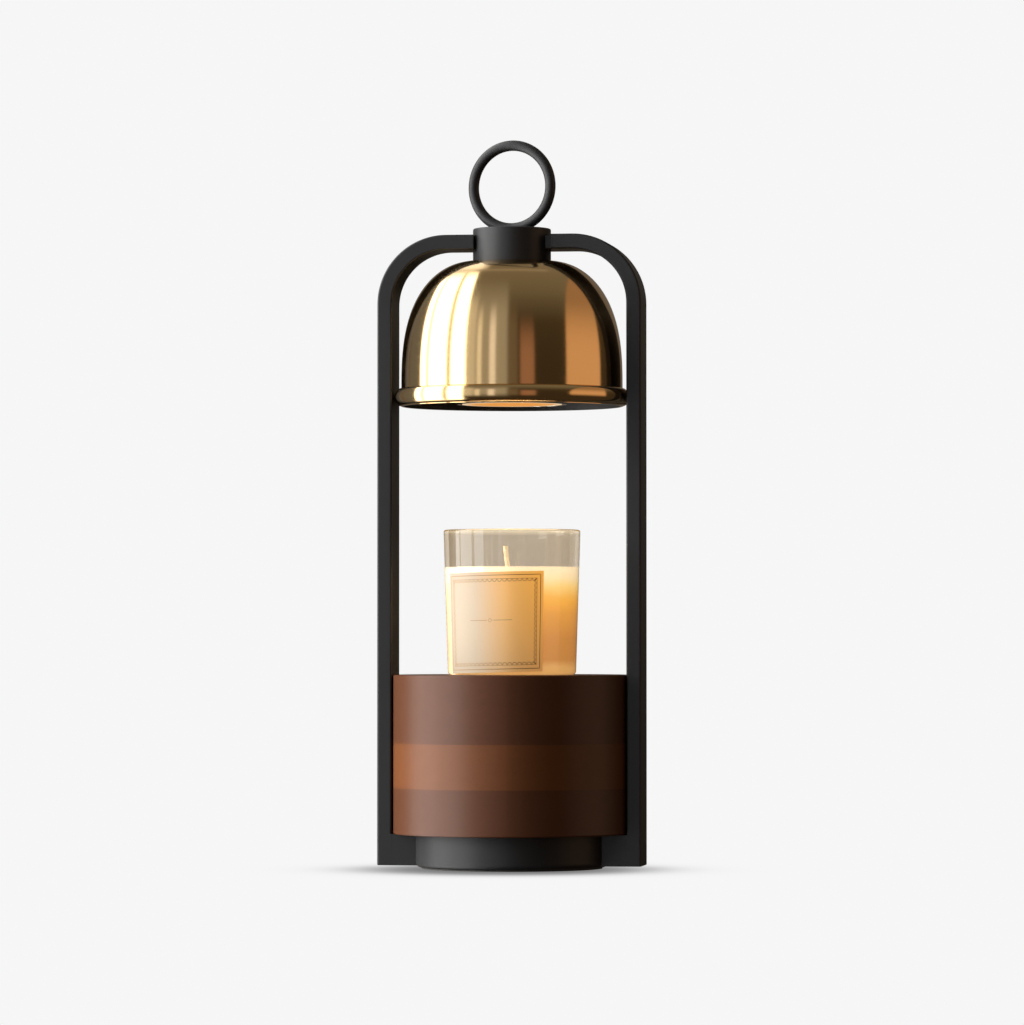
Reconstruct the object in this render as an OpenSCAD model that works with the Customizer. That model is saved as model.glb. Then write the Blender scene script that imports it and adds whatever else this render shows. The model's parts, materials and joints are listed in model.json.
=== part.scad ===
// Candle warmer lamp: a carrying frame with a turned collar and a ring, a bell shade over a
// spotlight bulb, and a layered wooden drum that the candle stands on.
// Millimetres. +Z is up, the table is z = 0, the front is -Y, the legs stand at -X and +X.

/* [Frame] */
// Height of the frame's top face above the table
frame_top = 288.5; // [262:0.5:340]
// Clear width between the two legs
leg_gap = 107.6; // [104:0.2:130]
// Thickness of the flat tube
bar_t = 6.8; // [6.2:0.1:9]
// Depth of the flat tube, front to back
bar_d = 22; // [20:0.5:24]
// Wall of the flat tube
bar_wall = 1.2; // [0.8:0.1:1.4]
// Depth of the flat tube inside the collar, between its shoulders
tongue_d = 14; // [13.5:0.5:18]
// Outer radius of the two top corners
bow_r = 31.5; // [20:0.5:44]
// Gap between the table and the frame's feet
foot_lift = 1.4; // [1.2:0.1:3]
// Height of the cross bar that joins the feet
cross_h = 14.2; // [14:0.2:22]
// Wall of the cross bar
cross_wall = 2; // [1.4:0.1:2.4]
// Height of the threaded inserts in the leg ends
insert_h = 11.5; // [11:0.5:13]

/* [Drum] */
// How deep the drum's two flats let it in between the legs
flat_depth = 0.3; // [0.1:0.1:3]
// Height of the lower wooden layer
drum_low_h = 21.1; // [20:0.1:40]
// Height of the middle wooden layer
drum_mid_h = 20.3; // [10:0.1:40]
// Height of the upper wooden layer
drum_top_h = 31.1; // [16:0.1:60]
// Diameter of the wiring space inside the drum
cavity_d = 76; // [70:1:80]
// Floor under the wiring space
drum_floor = 5; // [4:0.5:7]
// Rounding of the drum's upper and lower edge
drum_edge = 0.8; // [0.3:0.1:2]

/* [Base disc] */
// Diameter of the base disc
base_d = 88; // [80:1:96]
// Wall of the base disc
base_wall = 1.2; // [0.8:0.1:2]
// Rounding of the base disc's lower edge
base_edge = 2.4; // [1:0.1:4]
// Thickness of the rubber foot ring that shows below the base disc
pad_t = 0.6; // [0.4:0.1:0.8]
// Width of the rubber foot ring
pad_w = 10; // [5:0.5:12]

/* [Collar and ring] */
// Diameter of the turned collar
collar_d = 35.6; // [34:0.2:44]
// Height of the collar above the frame's top face
collar_rise = 3.1; // [2.4:0.1:8]
// Height of the saddle block between the frame and the shade
saddle_h = 5.1; // [5:0.1:12]
// Outer diameter of the ring
ring_d = 42.6; // [30:0.2:60]
// Thickness of the ring's round bar
ring_bar = 4.8; // [4:0.1:7]
// Turn of the ring on its stud, seen from above
ring_turn = -14; // [-180:1:180]
// Diameter of the stud under the ring
stud_d = 6; // [5:0.5:6]

/* [Shade] */
// Height of the shade, from its rim to its flat top
shade_h = 66.2; // [62:0.2:80]
// Thickness of the shade's sheet
shade_wall = 1; // [0.6:0.1:1.6]
// Diameter of the flat on top of the shade
shade_flat_d = 36.6; // [36:0.2:46]
// How full the bell's shoulder is
shoulder = 2.7; // [2.2:0.1:3.4]
// Height of the rolled bead at the rim
bead_h = 8; // [5:0.1:10]
// How far the rolled bead stands out of the bell
bead_out = 3.1; // [2:0.1:4]
// Gap between the bead and each leg
bead_gap = 0.2; // [0.1:0.1:4]

/* [Bulb] */
// Diameter of the bulb's face
bulb_d = 50; // [35:0.5:51]
// Length of the bulb, from its face to the shoulder of its base
bulb_len = 47.2; // [40:0.2:52]
// Diameter of the bulb's base block
bulb_base_d = 21; // [19:0.5:24]
// Height of the bulb's base block
bulb_base_h = 18.5; // [17:0.5:20]
// Distance between the bulb's two pins
pin_gap = 10; // [10:0.1:11]
// Diameter of a pin's head
pin_head_d = 5; // [4:0.1:5.2]
// Angle that the bulb turns to unlock
lock_angle = 25; // [15:1:35]
// Diameter of the ceramic lamp holder
holder_d = 32; // [31:0.5:34]
// Height of the ceramic lamp holder
holder_h = 13.7; // [13:0.1:18]

/* [Wiring] */
// Diameter of the lead inside the frame
lead_d = 3.2; // [2:0.1:3.4]
// Bore of the cable inlet, for the mains cable
inlet_d = 6.4; // [5:0.1:8]
// Height of the cable inlet above the wiring space's floor
inlet_rise = 6.4; // [6:0.1:8]

/* [Candle] */
// Height of the candle's glass
jar_h = 66; // [40:0.5:90]
// Outer diameter of the glass at its mouth
jar_top_d = 62.4; // [50:0.2:80]
// Outer diameter of the glass at its foot
jar_foot_d = 58.4; // [48:0.2:76]
// Wall of the glass
jar_wall = 2; // [1.2:0.1:3]
// Thickness of the glass bottom
jar_floor = 3.5; // [2:0.5:8]
// Height of the wax above the glass bottom
wax_h = 45.5; // [26:0.5:60]
// Length of wick that stands out of the wax
wick_out = 9.7; // [3:0.1:14]
// Diameter of the wick
wick_d = 1.8; // [1:0.1:3]
// Width of the label, measured round the glass
label_w = 50.6; // [20:0.2:80]
// Height of the label
label_h = 45.4; // [15:0.2:46]
// Turn of the label away from the front
label_turn = -10; // [-180:1:180]

/* [Hidden] */

$fn = 96;
over = 1;             // how far a cutting shape runs past a face
slip = 0.05;          // radial clearance of a turning or sliding fit
ease = 0.1;           // clearance round a piece that is put in and stays
loose = 0.4;          // clearance round a piece that only has to miss its neighbour

black = "#2b2b2c";
steel = "#b9bcc0";

// Heights, from the table up
cross_top = foot_lift + cross_h;
cross_mid_z = foot_lift + cross_h / 2;
cavity_z = cross_top + drum_floor;
seam_low_z = cross_top + drum_low_h;
seam_high_z = seam_low_z + drum_mid_h;
drum_top_z = seam_high_z + drum_top_h;
frame_under = frame_top - bar_t;
shade_top_z = frame_under - saddle_h;
collar_top_z = frame_top + collar_rise;

// Frame
leg_in = leg_gap / 2;
leg_out = leg_in + bar_t;
leg_mid = leg_in + bar_t / 2;
insert_gap_y = 5;     // width of the way for the lead between the two lugs of an insert
insert_web = 3;       // what joins the two lugs at their foot
insert_skin = 1;      // what is left past the end of a blind hole in an insert
tie_slot_reach = 5;   // how far the slot under a tie screw runs inwards from it
frame_screw_r = 2;
frame_head_r = 2.9;
frame_head_h = 2;
frame_screw_y = bar_d / 2 - cross_wall - frame_head_r - 2 * ease;
screw_short = 0.5;    // how far a screw stops before the end of its hole

// Drum
drum_r = leg_in + flat_depth;
cavity_r = cavity_d / 2;
tie_x = (cavity_r + leg_in) / 2;
tie_r = 2;
tie_head_r = 3.5;
tie_head_h = 2.2;
tie_bite = drum_top_h / 2;
floor_skin = 1;       // wood left under the clamp's screws

// Base disc
base_r = base_d / 2;
base_in_r = base_r - base_wall;
base_floor = foot_lift - pad_t;
pad_r = base_r - base_edge - loose;
base_screw_x = base_in_r * 0.6;
base_screw_r = 1.5;
base_head_r = 2.9;

// Collar, stud and ring
collar_r = collar_d / 2;
collar_edge = 0.8;
seat_t = 0.8;         // collar left under the ring's seat
seat_floor = frame_top + seat_t;
stud_r = stud_d / 2;
bush_r = stud_r + 2;
flange_r = stud_r + 3;
flange_t = 1;
seat_r = flange_r + 4.5;
washer_t = 1;
washer_r = stud_r + 3.4;
nut_h = 3.4;
nut_flats = stud_d * 10 / 6;
nut_z = frame_under - washer_t - slip - nut_h;
ring_bar_r = ring_bar / 2;
ring_mid_r = ring_d / 2 - ring_bar_r;
ring_sink = 0.8;      // how far the ring's bar sinks into its flange
ring_z = seat_floor + flange_t - ring_sink + ring_bar_r + ring_mid_r;
nut_space_r = washer_r + loose;

// Screws that hold the shade to the collar, beside the bar
shade_screw_r = 1.5;
shade_head_r = 2.5;
shade_head_h = 1.7;
shade_screw_bite = 9;
shade_screw_y = bar_d / 2 + ease + shade_screw_r + 1;

// Shade
shade_in_top = shade_top_z - shade_wall;
rim_z = shade_top_z - shade_h;
bead_low = 0.2;
bead_mid_z = rim_z + bead_low + bead_h / 2;
bell_z = rim_z + bead_low + bead_h;
bell_h = shade_top_z - bell_z;
bead_r = leg_in - bead_gap;
bell_r = bead_r - bead_out;
flat_r = shade_flat_d / 2;

// Lamp holder
bracket_t = 1;
bracket_r = flat_r - 0.9;
bracket_edge = 0.45;  // what is left of the bracket outside a shade screw's hole
shade_screw_ring = bracket_r - bracket_edge - shade_screw_r - ease;
shade_screw_x = sqrt(pow(shade_screw_ring, 2) - pow(shade_screw_y, 2));
bracket_z = shade_in_top - bracket_t;
spacer_h = 2.2;
spacer_r = 3;
holder_top = bracket_z - spacer_h;
holder_z = holder_top - holder_h;
holder_r = holder_d / 2;
holder_wall = 3;
holder_screw_y = 11.5;
holder_screw_r = 1.5;
holder_head_r = 2.7;
holder_head_h = 2;
holder_seat_z = holder_z + holder_head_h + 1;
holder_lid_t = 1.6;   // ceramic left above the holder's cavity
pillar_wall = 0.7;    // ceramic round a screw's head where it passes the cavity
contact_t = 0.5;
contact_half_w = 2;
contact_lap = 2.5;    // how far a contact reaches inwards from its pin
contact_tab_h = 2;

// Bulb: from the holder's mouth down
shoulder_gap = 0.2;
shoulder_z = holder_z - shoulder_gap;
face_z = shoulder_z - bulb_len;
bulb_r = bulb_d / 2;
glass_t = 1.2;
lip_h = 2.5;
lip_out = 0.8;        // how far the bulb's lip stands out of the reflector
base_chamfer = 1;     // of the bulb's base block
neck_z = shoulder_z - bulb_base_h;
neck_r = bulb_base_d / 2;
lens_t = 1.5;
lens_r = bulb_r - lip_out - glass_t - 2 * ease;
pin_x = pin_gap / 2;
pin_head_r = pin_head_d / 2;
pin_neck_r = pin_head_r - 0.8;
pin_neck_h = 4;
pin_head_h = 3;
slot_ease = 0.3;
slot_lip_z = shoulder_z + pin_neck_h - slot_ease;
slot_top_z = shoulder_z + pin_neck_h + pin_head_h + 2 * slot_ease;
capsule_r = 4.5;
capsule_h = 17;
capsule_wall = 0.8;
pinch_h = 4;          // the capsule's solid end, in the reflector's neck
filament_rise = 2;    // from the centre of the capsule's dome up to the filament
filament_half_l = 2.4;

// Lead: its route lies in the plane y = 0
lead_r = lead_d / 2;
lead_bend = 6;
lead_x = nut_space_r + lead_r + 1.5;
lead_lean = 0.75;     // room for the lead where it leans into its last bend
lead_inset = 9;       // from the wiring space's wall to the lead's way down
lead_drop_x = cavity_r - lead_inset;
lead_top_z = frame_top - bar_t / 2;
lead_hole_r = lead_r + 1;
lead_hole_x = lead_x + 1.2;
lead_hole_z = cross_mid_z + 1;
lead_tail = 2;        // what of the lead's end reaches into the holder's cavity above the slots

// Cable inlet and clamp
inlet_r = inlet_d / 2;
inlet_z = cavity_z + inlet_rise;
inlet_barrel_r = inlet_r + 1.6;
inlet_flange_r = inlet_r + 3.3;
inlet_flange_t = 1.5;
inlet_tail = 1.5;     // how far the bush reaches into the wiring space
inlet_face_y = sqrt(drum_r * drum_r - pow(inlet_flange_r + loose, 2));
clamp_inset = 12;     // from the wiring space's wall to the clamp's middle
clamp_lobe = 7;       // what the clamp adds beside the cable for its screws
clamp_y = cavity_r - clamp_inset;
clamp_half_x = inlet_r + clamp_lobe;
clamp_half_y = 4;
clamp_pinch = 0.3;
clamp_cap_h = inlet_r + 2;
clamp_screw_x = inlet_r + clamp_lobe / 2 + ease;
clamp_screw_r = 1.5;
clamp_head_r = 2.7;
clamp_head_h = 2;

// Terminal block and earth screw
term_l = 30;
term_w = 16;
term_h = 13;
term_ways = 3;
term_pitch = 9;
term_bore_z = 6;
term_bore_r = 1.9;
term_screw_r = 1.6;
term_screw_y = 4.5;
term_screw_sink = 0.6; // from the block's top down to the screws' heads
term_slot_w = 0.6;
earth_inset = 8;      // from the wiring space's wall to the earth screw
earth_x = -(cavity_r - earth_inset);
earth_r = 2;
earth_head_r = 3.8;
earth_head_h = 2.2;
earth_washer_t = 0.8;
earth_washer_r = earth_head_r + 1;
earth_hole_r = earth_washer_r + 0.6;

// Candle
jar_z = drum_top_z;
jar_top_r = jar_top_d / 2;
jar_foot_r = jar_foot_d / 2;
jar_in_z = jar_z + jar_floor;
wax_top = jar_in_z + wax_h;
wick_r = wick_d / 2;
tab_r = 8;
tab_t = 0.5;
tab_neck_h = 3;
tab_neck_r = wick_r + 0.8;
jar_in_edge = 1;      // chamfer inside the glass, where its wall meets its bottom
label_t = 0.15;
label_low = 1.1;

// ---- Shared shapes ----

// A box given by its two corners
module block(x, y, z) {
    translate([x[0], y[0], z[0]])
        cube([x[1] - x[0], y[1] - y[0], z[1] - z[0]]);
}

// A cylinder between two heights
module post(r, z0, z1) {
    translate([0, 0, z0])
        cylinder(h = z1 - z0, r = r);
}

// Raises a drawing in the x-z plane to a given depth along y, about y = 0
module along_y(depth) {
    rotate([90, 0, 0])
        linear_extrude(height = depth, center = true)
            children();
}

// A round bar along x, at y = 0
module rod_x(r, x0, x1, z) {
    translate([x0, 0, z])
        rotate([0, 90, 0])
            cylinder(h = x1 - x0, r = r);
}

// A quarter bend of round bar in the plane y = 0, from the given angle on
module quarter_bend(r, bend, cx, cz, from) {
    translate([cx, 0, cz])
        rotate([90, 0, 0])
            rotate([0, 0, from])
                rotate_extrude(angle = 90)
                    translate([bend, 0])
                        circle(r);
}

// A screw that points up, with its head below z = 0 and a hexagon socket in the head
module screw(shank_r, shank_l, head_r, head_h) {
    difference() {
        union() {
            cylinder(h = shank_l, r = shank_r);
            post(head_r, -head_h, 0);
        }
        translate([0, 0, -head_h - over])
            cylinder(h = over + head_h * 0.6, r = head_r * 0.5, $fn = 6);
    }
}

// Puts its children at the four corners of a rectangle round the axis
module at_corners(x, y) {
    for (sx = [-1, 1])
        for (sy = [-1, 1])
            translate([sx * x, sy * y, 0])
                children();
}

// Puts its children on both sides of the axis, turned to face outwards
module both_sides() {
    for (turn = [0, 180])
        rotate([0, 0, turn])
            children();
}

// A slot along an arc round the axis for a round pin that turns clockwise from +X
module arc_slot(mid_r, half_w, angle, z0, z1) {
    room = asin(half_w / mid_r);
    rotate([0, 0, -angle - room])
        rotate_extrude(angle = angle + 2 * room)
            translate([mid_r - half_w, z0])
                square([2 * half_w, z1 - z0]);
}

// ---- Frame ----

// The arch outline that the frame's faces follow
module arch(half_w, top_z, r, low_z) {
    translate([-half_w, low_z])
        square([2 * half_w, top_z - r - low_z]);
    translate([r - half_w, low_z])
        square([2 * (half_w - r), top_z - low_z]);
    for (side = [-1, 1])
        translate([side * (half_w - r), top_z - r])
            circle(r);
}

// The bent band seen from the front, drawn in by an inset on all its long faces
module band(inset, low_z) {
    difference() {
        arch(leg_out - inset, frame_top - inset, bow_r - inset, low_z);
        arch(leg_in + inset, frame_under + inset, bow_r - bar_t + inset, low_z - over);
    }
}

// Holes for the screws that join the legs and the cross bar
module frame_screw_holes(x0, x1) {
    for (side = [-1, 1])
        translate([x0, side * frame_screw_y, cross_mid_z])
            rotate([0, 90, 0])
                cylinder(h = x1 - x0, r = frame_screw_r + ease);
}

// What is cut off the tube's front and back for the tongue inside the collar
module tongue_cut(shoulder_x, half_y) {
    both_sides()
        block([-shoulder_x, shoulder_x], [half_y, bar_d], [frame_under - over, frame_top + over]);
}

module frame_bow() {
    shoulder_x = collar_r + ease;
    color(black)
        difference() {
            along_y(bar_d)
                band(0, foot_lift);
            tongue_cut(shoulder_x, tongue_d / 2);
            difference() {
                along_y(bar_d - 2 * bar_wall)
                    band(bar_wall, foot_lift - over);
                tongue_cut(shoulder_x + bar_wall, tongue_d / 2 - bar_wall);
            }
            post(bush_r + slip, frame_under - over, frame_top + over);
            translate([lead_hole_x, 0, 0])
                post(lead_hole_r, frame_under - over, frame_under + bar_t / 2);
            rod_x(lead_hole_r, leg_in - over, leg_mid, lead_hole_z);
            both_sides()
                frame_screw_holes(leg_in - over, leg_in + bar_wall + over);
        }
}

module cross_bar() {
    in_y = bar_d / 2 - cross_wall;
    low = foot_lift + cross_wall;
    high = cross_top - cross_wall;
    color(black)
        difference() {
            block([-leg_in, leg_in], [-bar_d / 2, bar_d / 2], [foot_lift, cross_top]);
            block([cross_wall - leg_in, leg_in - cross_wall], [-in_y, in_y], [low, high]);
            both_sides() {
                block([tie_x - tie_slot_reach, leg_in - cross_wall], [-in_y, in_y], [foot_lift - over, low + over]);
                frame_screw_holes(leg_in - cross_wall - over, leg_in + over);
                translate([tie_x, 0, 0])
                    post(tie_r + ease, high - over, cross_top + over);
                translate([base_screw_x, 0, 0])
                    post(base_screw_r + slip, foot_lift - over, low + over);
                translate([base_screw_x, 0, foot_lift - base_floor])
                    base_sink();
            }
            rod_x(lead_hole_r, leg_in - cross_wall - over, leg_in + over, lead_hole_z);
            translate([lead_drop_x, 0, 0])
                post(lead_hole_r, high - over, cross_top + over);
            translate([earth_x, 0, 0])
                post(earth_r + slip, high - over, cross_top + over);
        }
}

// Threaded blocks in the open ends of the legs, with a way up the middle for the lead
module leg_inserts() {
    half_y = bar_d / 2 - bar_wall - ease;
    top = foot_lift + insert_h;
    color(steel)
        both_sides()
            difference() {
                block([leg_in + bar_wall + ease, leg_out - bar_wall - ease], [-half_y, half_y], [foot_lift, top]);
                block([leg_in, leg_out], [-insert_gap_y / 2, insert_gap_y / 2], [foot_lift + insert_web, top + over]);
                frame_screw_holes(leg_in, leg_out - bar_wall - insert_skin);
            }
}

module frame_screws() {
    color(steel)
        both_sides()
            for (side = [-1, 1])
                translate([leg_in - cross_wall, side * frame_screw_y, cross_mid_z])
                    rotate([0, 90, 0])
                        screw(frame_screw_r, cross_wall + bar_t - bar_wall - insert_skin - screw_short,
                              frame_head_r, frame_head_h);
}

// ---- Collar, swivel and ring ----

// A slot right through the collar for something of the given depth
module collar_slot(depth, z0, z1) {
    block([-collar_r - over, collar_r + over], [-depth / 2 - ease, depth / 2 + ease], [z0, z1]);
}

module collar() {
    color(black)
        difference() {
            rotate_extrude() {
                translate([0, shade_top_z])
                    square([collar_r, collar_top_z - collar_edge - shade_top_z]);
                translate([0, shade_top_z])
                    square([collar_r - collar_edge, collar_top_z - shade_top_z]);
                translate([collar_r - collar_edge, collar_top_z - collar_edge])
                    circle(collar_edge);
            }
            collar_slot(bar_d, shade_top_z - over, frame_under);
            collar_slot(tongue_d, frame_under - over, frame_top);
            post(seat_r, seat_floor, collar_top_z + over);
            post(bush_r + slip, frame_top - over, collar_top_z);
            at_corners(shade_screw_x, shade_screw_y)
                post(shade_screw_r + slip, shade_top_z - over, shade_top_z + shade_screw_bite);
        }
}

// Fills the collar's slot below the bar and carries the bar on the shade's flat top
module saddle_block() {
    color(black)
        difference() {
            intersection() {
                post(collar_r, shade_top_z, frame_under);
                block([-collar_r, collar_r], [-bar_d / 2, bar_d / 2], [shade_top_z, frame_under]);
            }
            post(nut_space_r, shade_top_z - over, frame_under + over);
            translate([lead_x, 0, 0])
                post(lead_r + lead_lean, shade_top_z - over, frame_under + over);
        }
}

// Sleeve that the ring's stud turns in, through the collar and both walls of the bar
module handle_bush() {
    color("#b08d57")
        difference() {
            post(bush_r, frame_under, seat_floor);
            post(stud_r + slip, frame_under - over, seat_floor + over);
        }
}

module ring_handle() {
    color(black)
        rotate([0, 0, ring_turn]) {
            translate([0, 0, ring_z])
                rotate([90, 0, 0])
                    rotate_extrude()
                        translate([ring_mid_r, 0])
                            circle(ring_bar_r);
            post(flange_r, seat_floor, seat_floor + flange_t);
            post(stud_r, nut_z, seat_floor + ring_bar_r);
        }
}

module handle_washer() {
    color(steel)
        difference() {
            post(washer_r, frame_under - washer_t, frame_under);
            post(stud_r + ease, frame_under - washer_t - over, frame_under + over);
        }
}

module handle_nut() {
    color(steel)
        rotate([0, 0, ring_turn])
            difference() {
                translate([0, 0, nut_z])
                    cylinder(h = nut_h, r = nut_flats / 2 / cos(30), $fn = 6);
                post(stud_r + slip, nut_z - over, nut_z + nut_h + over);
            }
}

// ---- Shade ----

// The bell's curve from its vertical wall (0 degrees) to its flat top (90 degrees)
function bell_point(a, r, h) =
    [flat_r + (r - flat_r) * cos(a), bell_z + h * pow(sin(a), 2 / shoulder)];

// The rolled bead's nose from below to above
function bead_point(a) =
    [bell_r + bead_out * cos(a), bead_mid_z + bead_h / 2 * sin(a)];

module shade() {
    outside = [for (a = [0 : 3 : 90]) bell_point(a, bell_r, bell_h)];
    inside = [for (a = [90 : -3 : 0]) bell_point(a, bell_r - shade_wall, bell_h - shade_wall)];
    bead = [for (a = [-90 : 15 : 75]) bead_point(a)];
    color("#c9a265")
        difference() {
            rotate_extrude()
                polygon(concat(
                    [[bell_r - shade_wall, rim_z], [bell_r, rim_z]],
                    bead, outside,
                    [[0, shade_top_z], [0, shade_in_top]],
                    inside
                ));
            shade_top_holes();
        }
}

// Holes through the shade's flat top and the plate under it
module shade_top_holes() {
    at_corners(shade_screw_x, shade_screw_y)
        post(shade_screw_r + ease, bracket_z - over, shade_top_z + over);
    translate([lead_x, 0, 0])
        post(lead_r + loose, bracket_z - over, shade_top_z + over);
}

module shade_screws() {
    color(steel)
        at_corners(shade_screw_x, shade_screw_y)
            translate([0, 0, bracket_z])
                screw(shade_screw_r, shade_top_z - bracket_z + shade_screw_bite - screw_short,
                      shade_head_r, shade_head_h);
}

// ---- Lamp holder ----

module holder_screw_places() {
    for (side = [-1, 1])
        translate([0, side * holder_screw_y, 0])
            children();
}

// Plate under the shade's flat top, with two pressed bosses that the holder is screwed to
module holder_bracket() {
    color(steel)
        difference() {
            union() {
                post(bracket_r, bracket_z, shade_in_top);
                holder_screw_places()
                    post(spacer_r, holder_top, bracket_z + bracket_t / 2);
            }
            shade_top_holes();
            holder_screw_places()
                post(holder_screw_r + slip, holder_top - over, shade_in_top + over);
        }
}

module holder_screws() {
    color(steel)
        holder_screw_places()
            translate([0, 0, holder_seat_z])
                screw(holder_screw_r, shade_in_top - holder_seat_z, holder_head_r, holder_head_h);
}

// Ceramic body with two keyhole slots, each a narrow arc with a round way in at its end
module lamp_holder() {
    cavity_top = holder_top - holder_lid_t;
    color("#efece4")
        difference() {
            post(holder_r, holder_z, holder_top);
            difference() {
                post(holder_r - holder_wall, slot_top_z, cavity_top);
                holder_screw_places()
                    post(holder_head_r + pillar_wall, slot_top_z - over, cavity_top + over);
            }
            both_sides() {
                arc_slot(pin_x, pin_head_r + slot_ease, lock_angle, slot_lip_z, slot_top_z + over);
                arc_slot(pin_x, pin_neck_r + slot_ease, lock_angle, holder_z - over, slot_lip_z + over);
                rotate([0, 0, -lock_angle])
                    translate([pin_x, 0, 0])
                        post(pin_head_r + slot_ease + ease, holder_z - over, slot_lip_z + over);
            }
            holder_screw_places() {
                post(holder_screw_r + ease, holder_z - over, holder_top + over);
                post(holder_head_r + ease, holder_z - over, holder_seat_z);
            }
            translate([lead_x, 0, 0])
                post(lead_r + ease, slot_top_z + 1, holder_top + over);
        }
}

// Sprung clips on the cavity's floor, over the pins, each with a tab for its wire
module holder_contacts() {
    color("#c08a4a")
        both_sides() {
            inner_x = pin_x - contact_lap;
            side_y = [-contact_half_w, contact_half_w];
            block([inner_x, holder_r - holder_wall - 1], side_y, [slot_top_z, slot_top_z + contact_t]);
            block([inner_x, inner_x + contact_t], side_y, [slot_top_z, slot_top_z + contact_tab_h]);
        }
}

// ---- Bulb ----

// The reflector's curve from its neck (0) to its lip (1)
function dish_point(u, low_r, high_r) =
    [sqrt(low_r * low_r + (high_r * high_r - low_r * low_r) * u), neck_z - (neck_z - face_z - lip_h) * u];

module bulb_reflector() {
    outside = [for (u = [0 : 0.05 : 1]) dish_point(u, neck_r, bulb_r - lip_out)];
    inside = [for (u = [1 : -0.05 : 0]) dish_point(u, neck_r - glass_t, bulb_r - lip_out - glass_t)];
    color("#dfe3e6")
        rotate_extrude()
            polygon(concat(
                outside,
                [[bulb_r, face_z + lip_h], [bulb_r, face_z], [bulb_r - glass_t, face_z]],
                inside
            ));
}

module bulb_lens() {
    color("#ffd9a0")
        post(lens_r, face_z, face_z + lens_t);
}

module bulb_base() {
    color("#efece4")
        rotate_extrude()
            polygon([
                [0, neck_z], [neck_r, neck_z], [neck_r, shoulder_z - base_chamfer],
                [neck_r - base_chamfer, shoulder_z], [0, shoulder_z]
            ]);
}

module bulb_pins() {
    color(steel)
        both_sides()
            translate([pin_x, 0, 0]) {
                post(pin_neck_r, shoulder_z, shoulder_z + pin_neck_h + over);
                post(pin_head_r, shoulder_z + pin_neck_h, shoulder_z + pin_neck_h + pin_head_h);
            }
}

// Sealed glass tube that stands in the reflector's neck
module bulb_capsule() {
    low = neck_z - capsule_h + capsule_r;
    color("#f4efe2")
        rotate_extrude()
            difference() {
                intersection() {
                    union() {
                        translate([0, low])
                            square([capsule_r, neck_z - low]);
                        translate([0, low])
                            circle(capsule_r);
                    }
                    translate([0, low - capsule_r - over])
                        square([capsule_r + over, capsule_h + 2 * over]);
                }
                translate([0, low])
                    square([capsule_r - capsule_wall, neck_z - low - pinch_h]);
            }
}

module bulb_filament() {
    top = neck_z - pinch_h;
    low = neck_z - capsule_h + capsule_r + filament_rise;
    coil_r = 0.6;
    wire_r = 0.3;
    color("#ffc46b") {
        both_sides()
            translate([filament_half_l - wire_r - ease, 0, 0])
                post(wire_r, low, top);
        rod_x(coil_r, -filament_half_l, filament_half_l, low);
    }
}

// ---- Drum ----

// A layer of the drum with its two flats for the legs; edge_low and edge_high round its rims
module drum_layer(z0, z1, edge_low, edge_high) {
    difference() {
        rotate_extrude()
            polygon([
                [0, z0], [drum_r - edge_low, z0],
                for (a = [-75 : 15 : -15]) if (edge_low > 0)
                    [drum_r - edge_low + edge_low * cos(a), z0 + edge_low + edge_low * sin(a)],
                [drum_r, z0 + edge_low], [drum_r, z1 - edge_high],
                for (a = [15 : 15 : 75]) if (edge_high > 0)
                    [drum_r - edge_high + edge_high * cos(a), z1 - edge_high + edge_high * sin(a)],
                [drum_r - edge_high, z1], [0, z1]
            ]);
        both_sides()
            block([leg_in, drum_r + over], [-drum_r, drum_r], [z0 - over, z1 + over]);
    }
}

// Holes for the two long screws that tie the layers to the cross bar
module tie_holes(z0, z1) {
    both_sides()
        translate([tie_x, 0, 0])
            post(tie_r + ease, z0, z1);
}

module drum_upper() {
    color("#4a2a1b")
        difference() {
            drum_layer(seam_high_z, drum_top_z, 0, drum_edge);
            tie_holes(seam_high_z - over, seam_high_z + tie_bite + screw_short);
        }
}

module drum_middle() {
    color("#8a5530")
        difference() {
            drum_layer(seam_low_z, seam_high_z, 0, 0);
            post(cavity_r, seam_low_z - over, seam_high_z + over);
            tie_holes(seam_low_z - over, seam_high_z + over);
        }
}

module drum_lower() {
    color("#4a2a1b")
        difference() {
            drum_layer(cross_top, seam_low_z, drum_edge, 0);
            post(cavity_r, cavity_z, seam_low_z + over);
            tie_holes(cross_top - over, seam_low_z + over);
            translate([lead_drop_x, 0, 0])
                post(lead_hole_r, cross_top - over, cavity_z + over);
            translate([earth_x, 0, 0])
                post(earth_hole_r, cross_top - over, cavity_z + over);
            translate([0, clamp_y, 0])
                clamp_screw_places()
                    post(clamp_screw_r + slip, cross_top + floor_skin, cavity_z + over);
            translate([0, 0, inlet_z])
                rotate([-90, 0, 0]) {
                    cylinder(h = drum_r + over, r = inlet_barrel_r + ease);
                    translate([0, 0, inlet_face_y - inlet_flange_t])
                        cylinder(h = drum_r, r = inlet_flange_r + loose);
                }
        }
}

module drum_screws() {
    color(steel)
        both_sides()
            translate([tie_x, 0, cross_top - cross_wall])
                screw(tie_r, seam_high_z + tie_bite - cross_top + cross_wall, tie_head_r, tie_head_h);
}

// ---- Cable inlet and wiring ----

// Flanged bush, let in flush at the back of the lower layer
module cable_inlet() {
    color(black)
        translate([0, 0, inlet_z])
            rotate([-90, 0, 0])
                difference() {
                    union() {
                        translate([0, 0, cavity_r - inlet_tail])
                            cylinder(h = inlet_face_y - cavity_r + inlet_tail, r = inlet_barrel_r);
                        translate([0, 0, inlet_face_y - inlet_flange_t])
                            cylinder(h = inlet_flange_t, r = inlet_flange_r);
                    }
                    cylinder(h = drum_r + over, r = inlet_r);
                }
}

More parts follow.
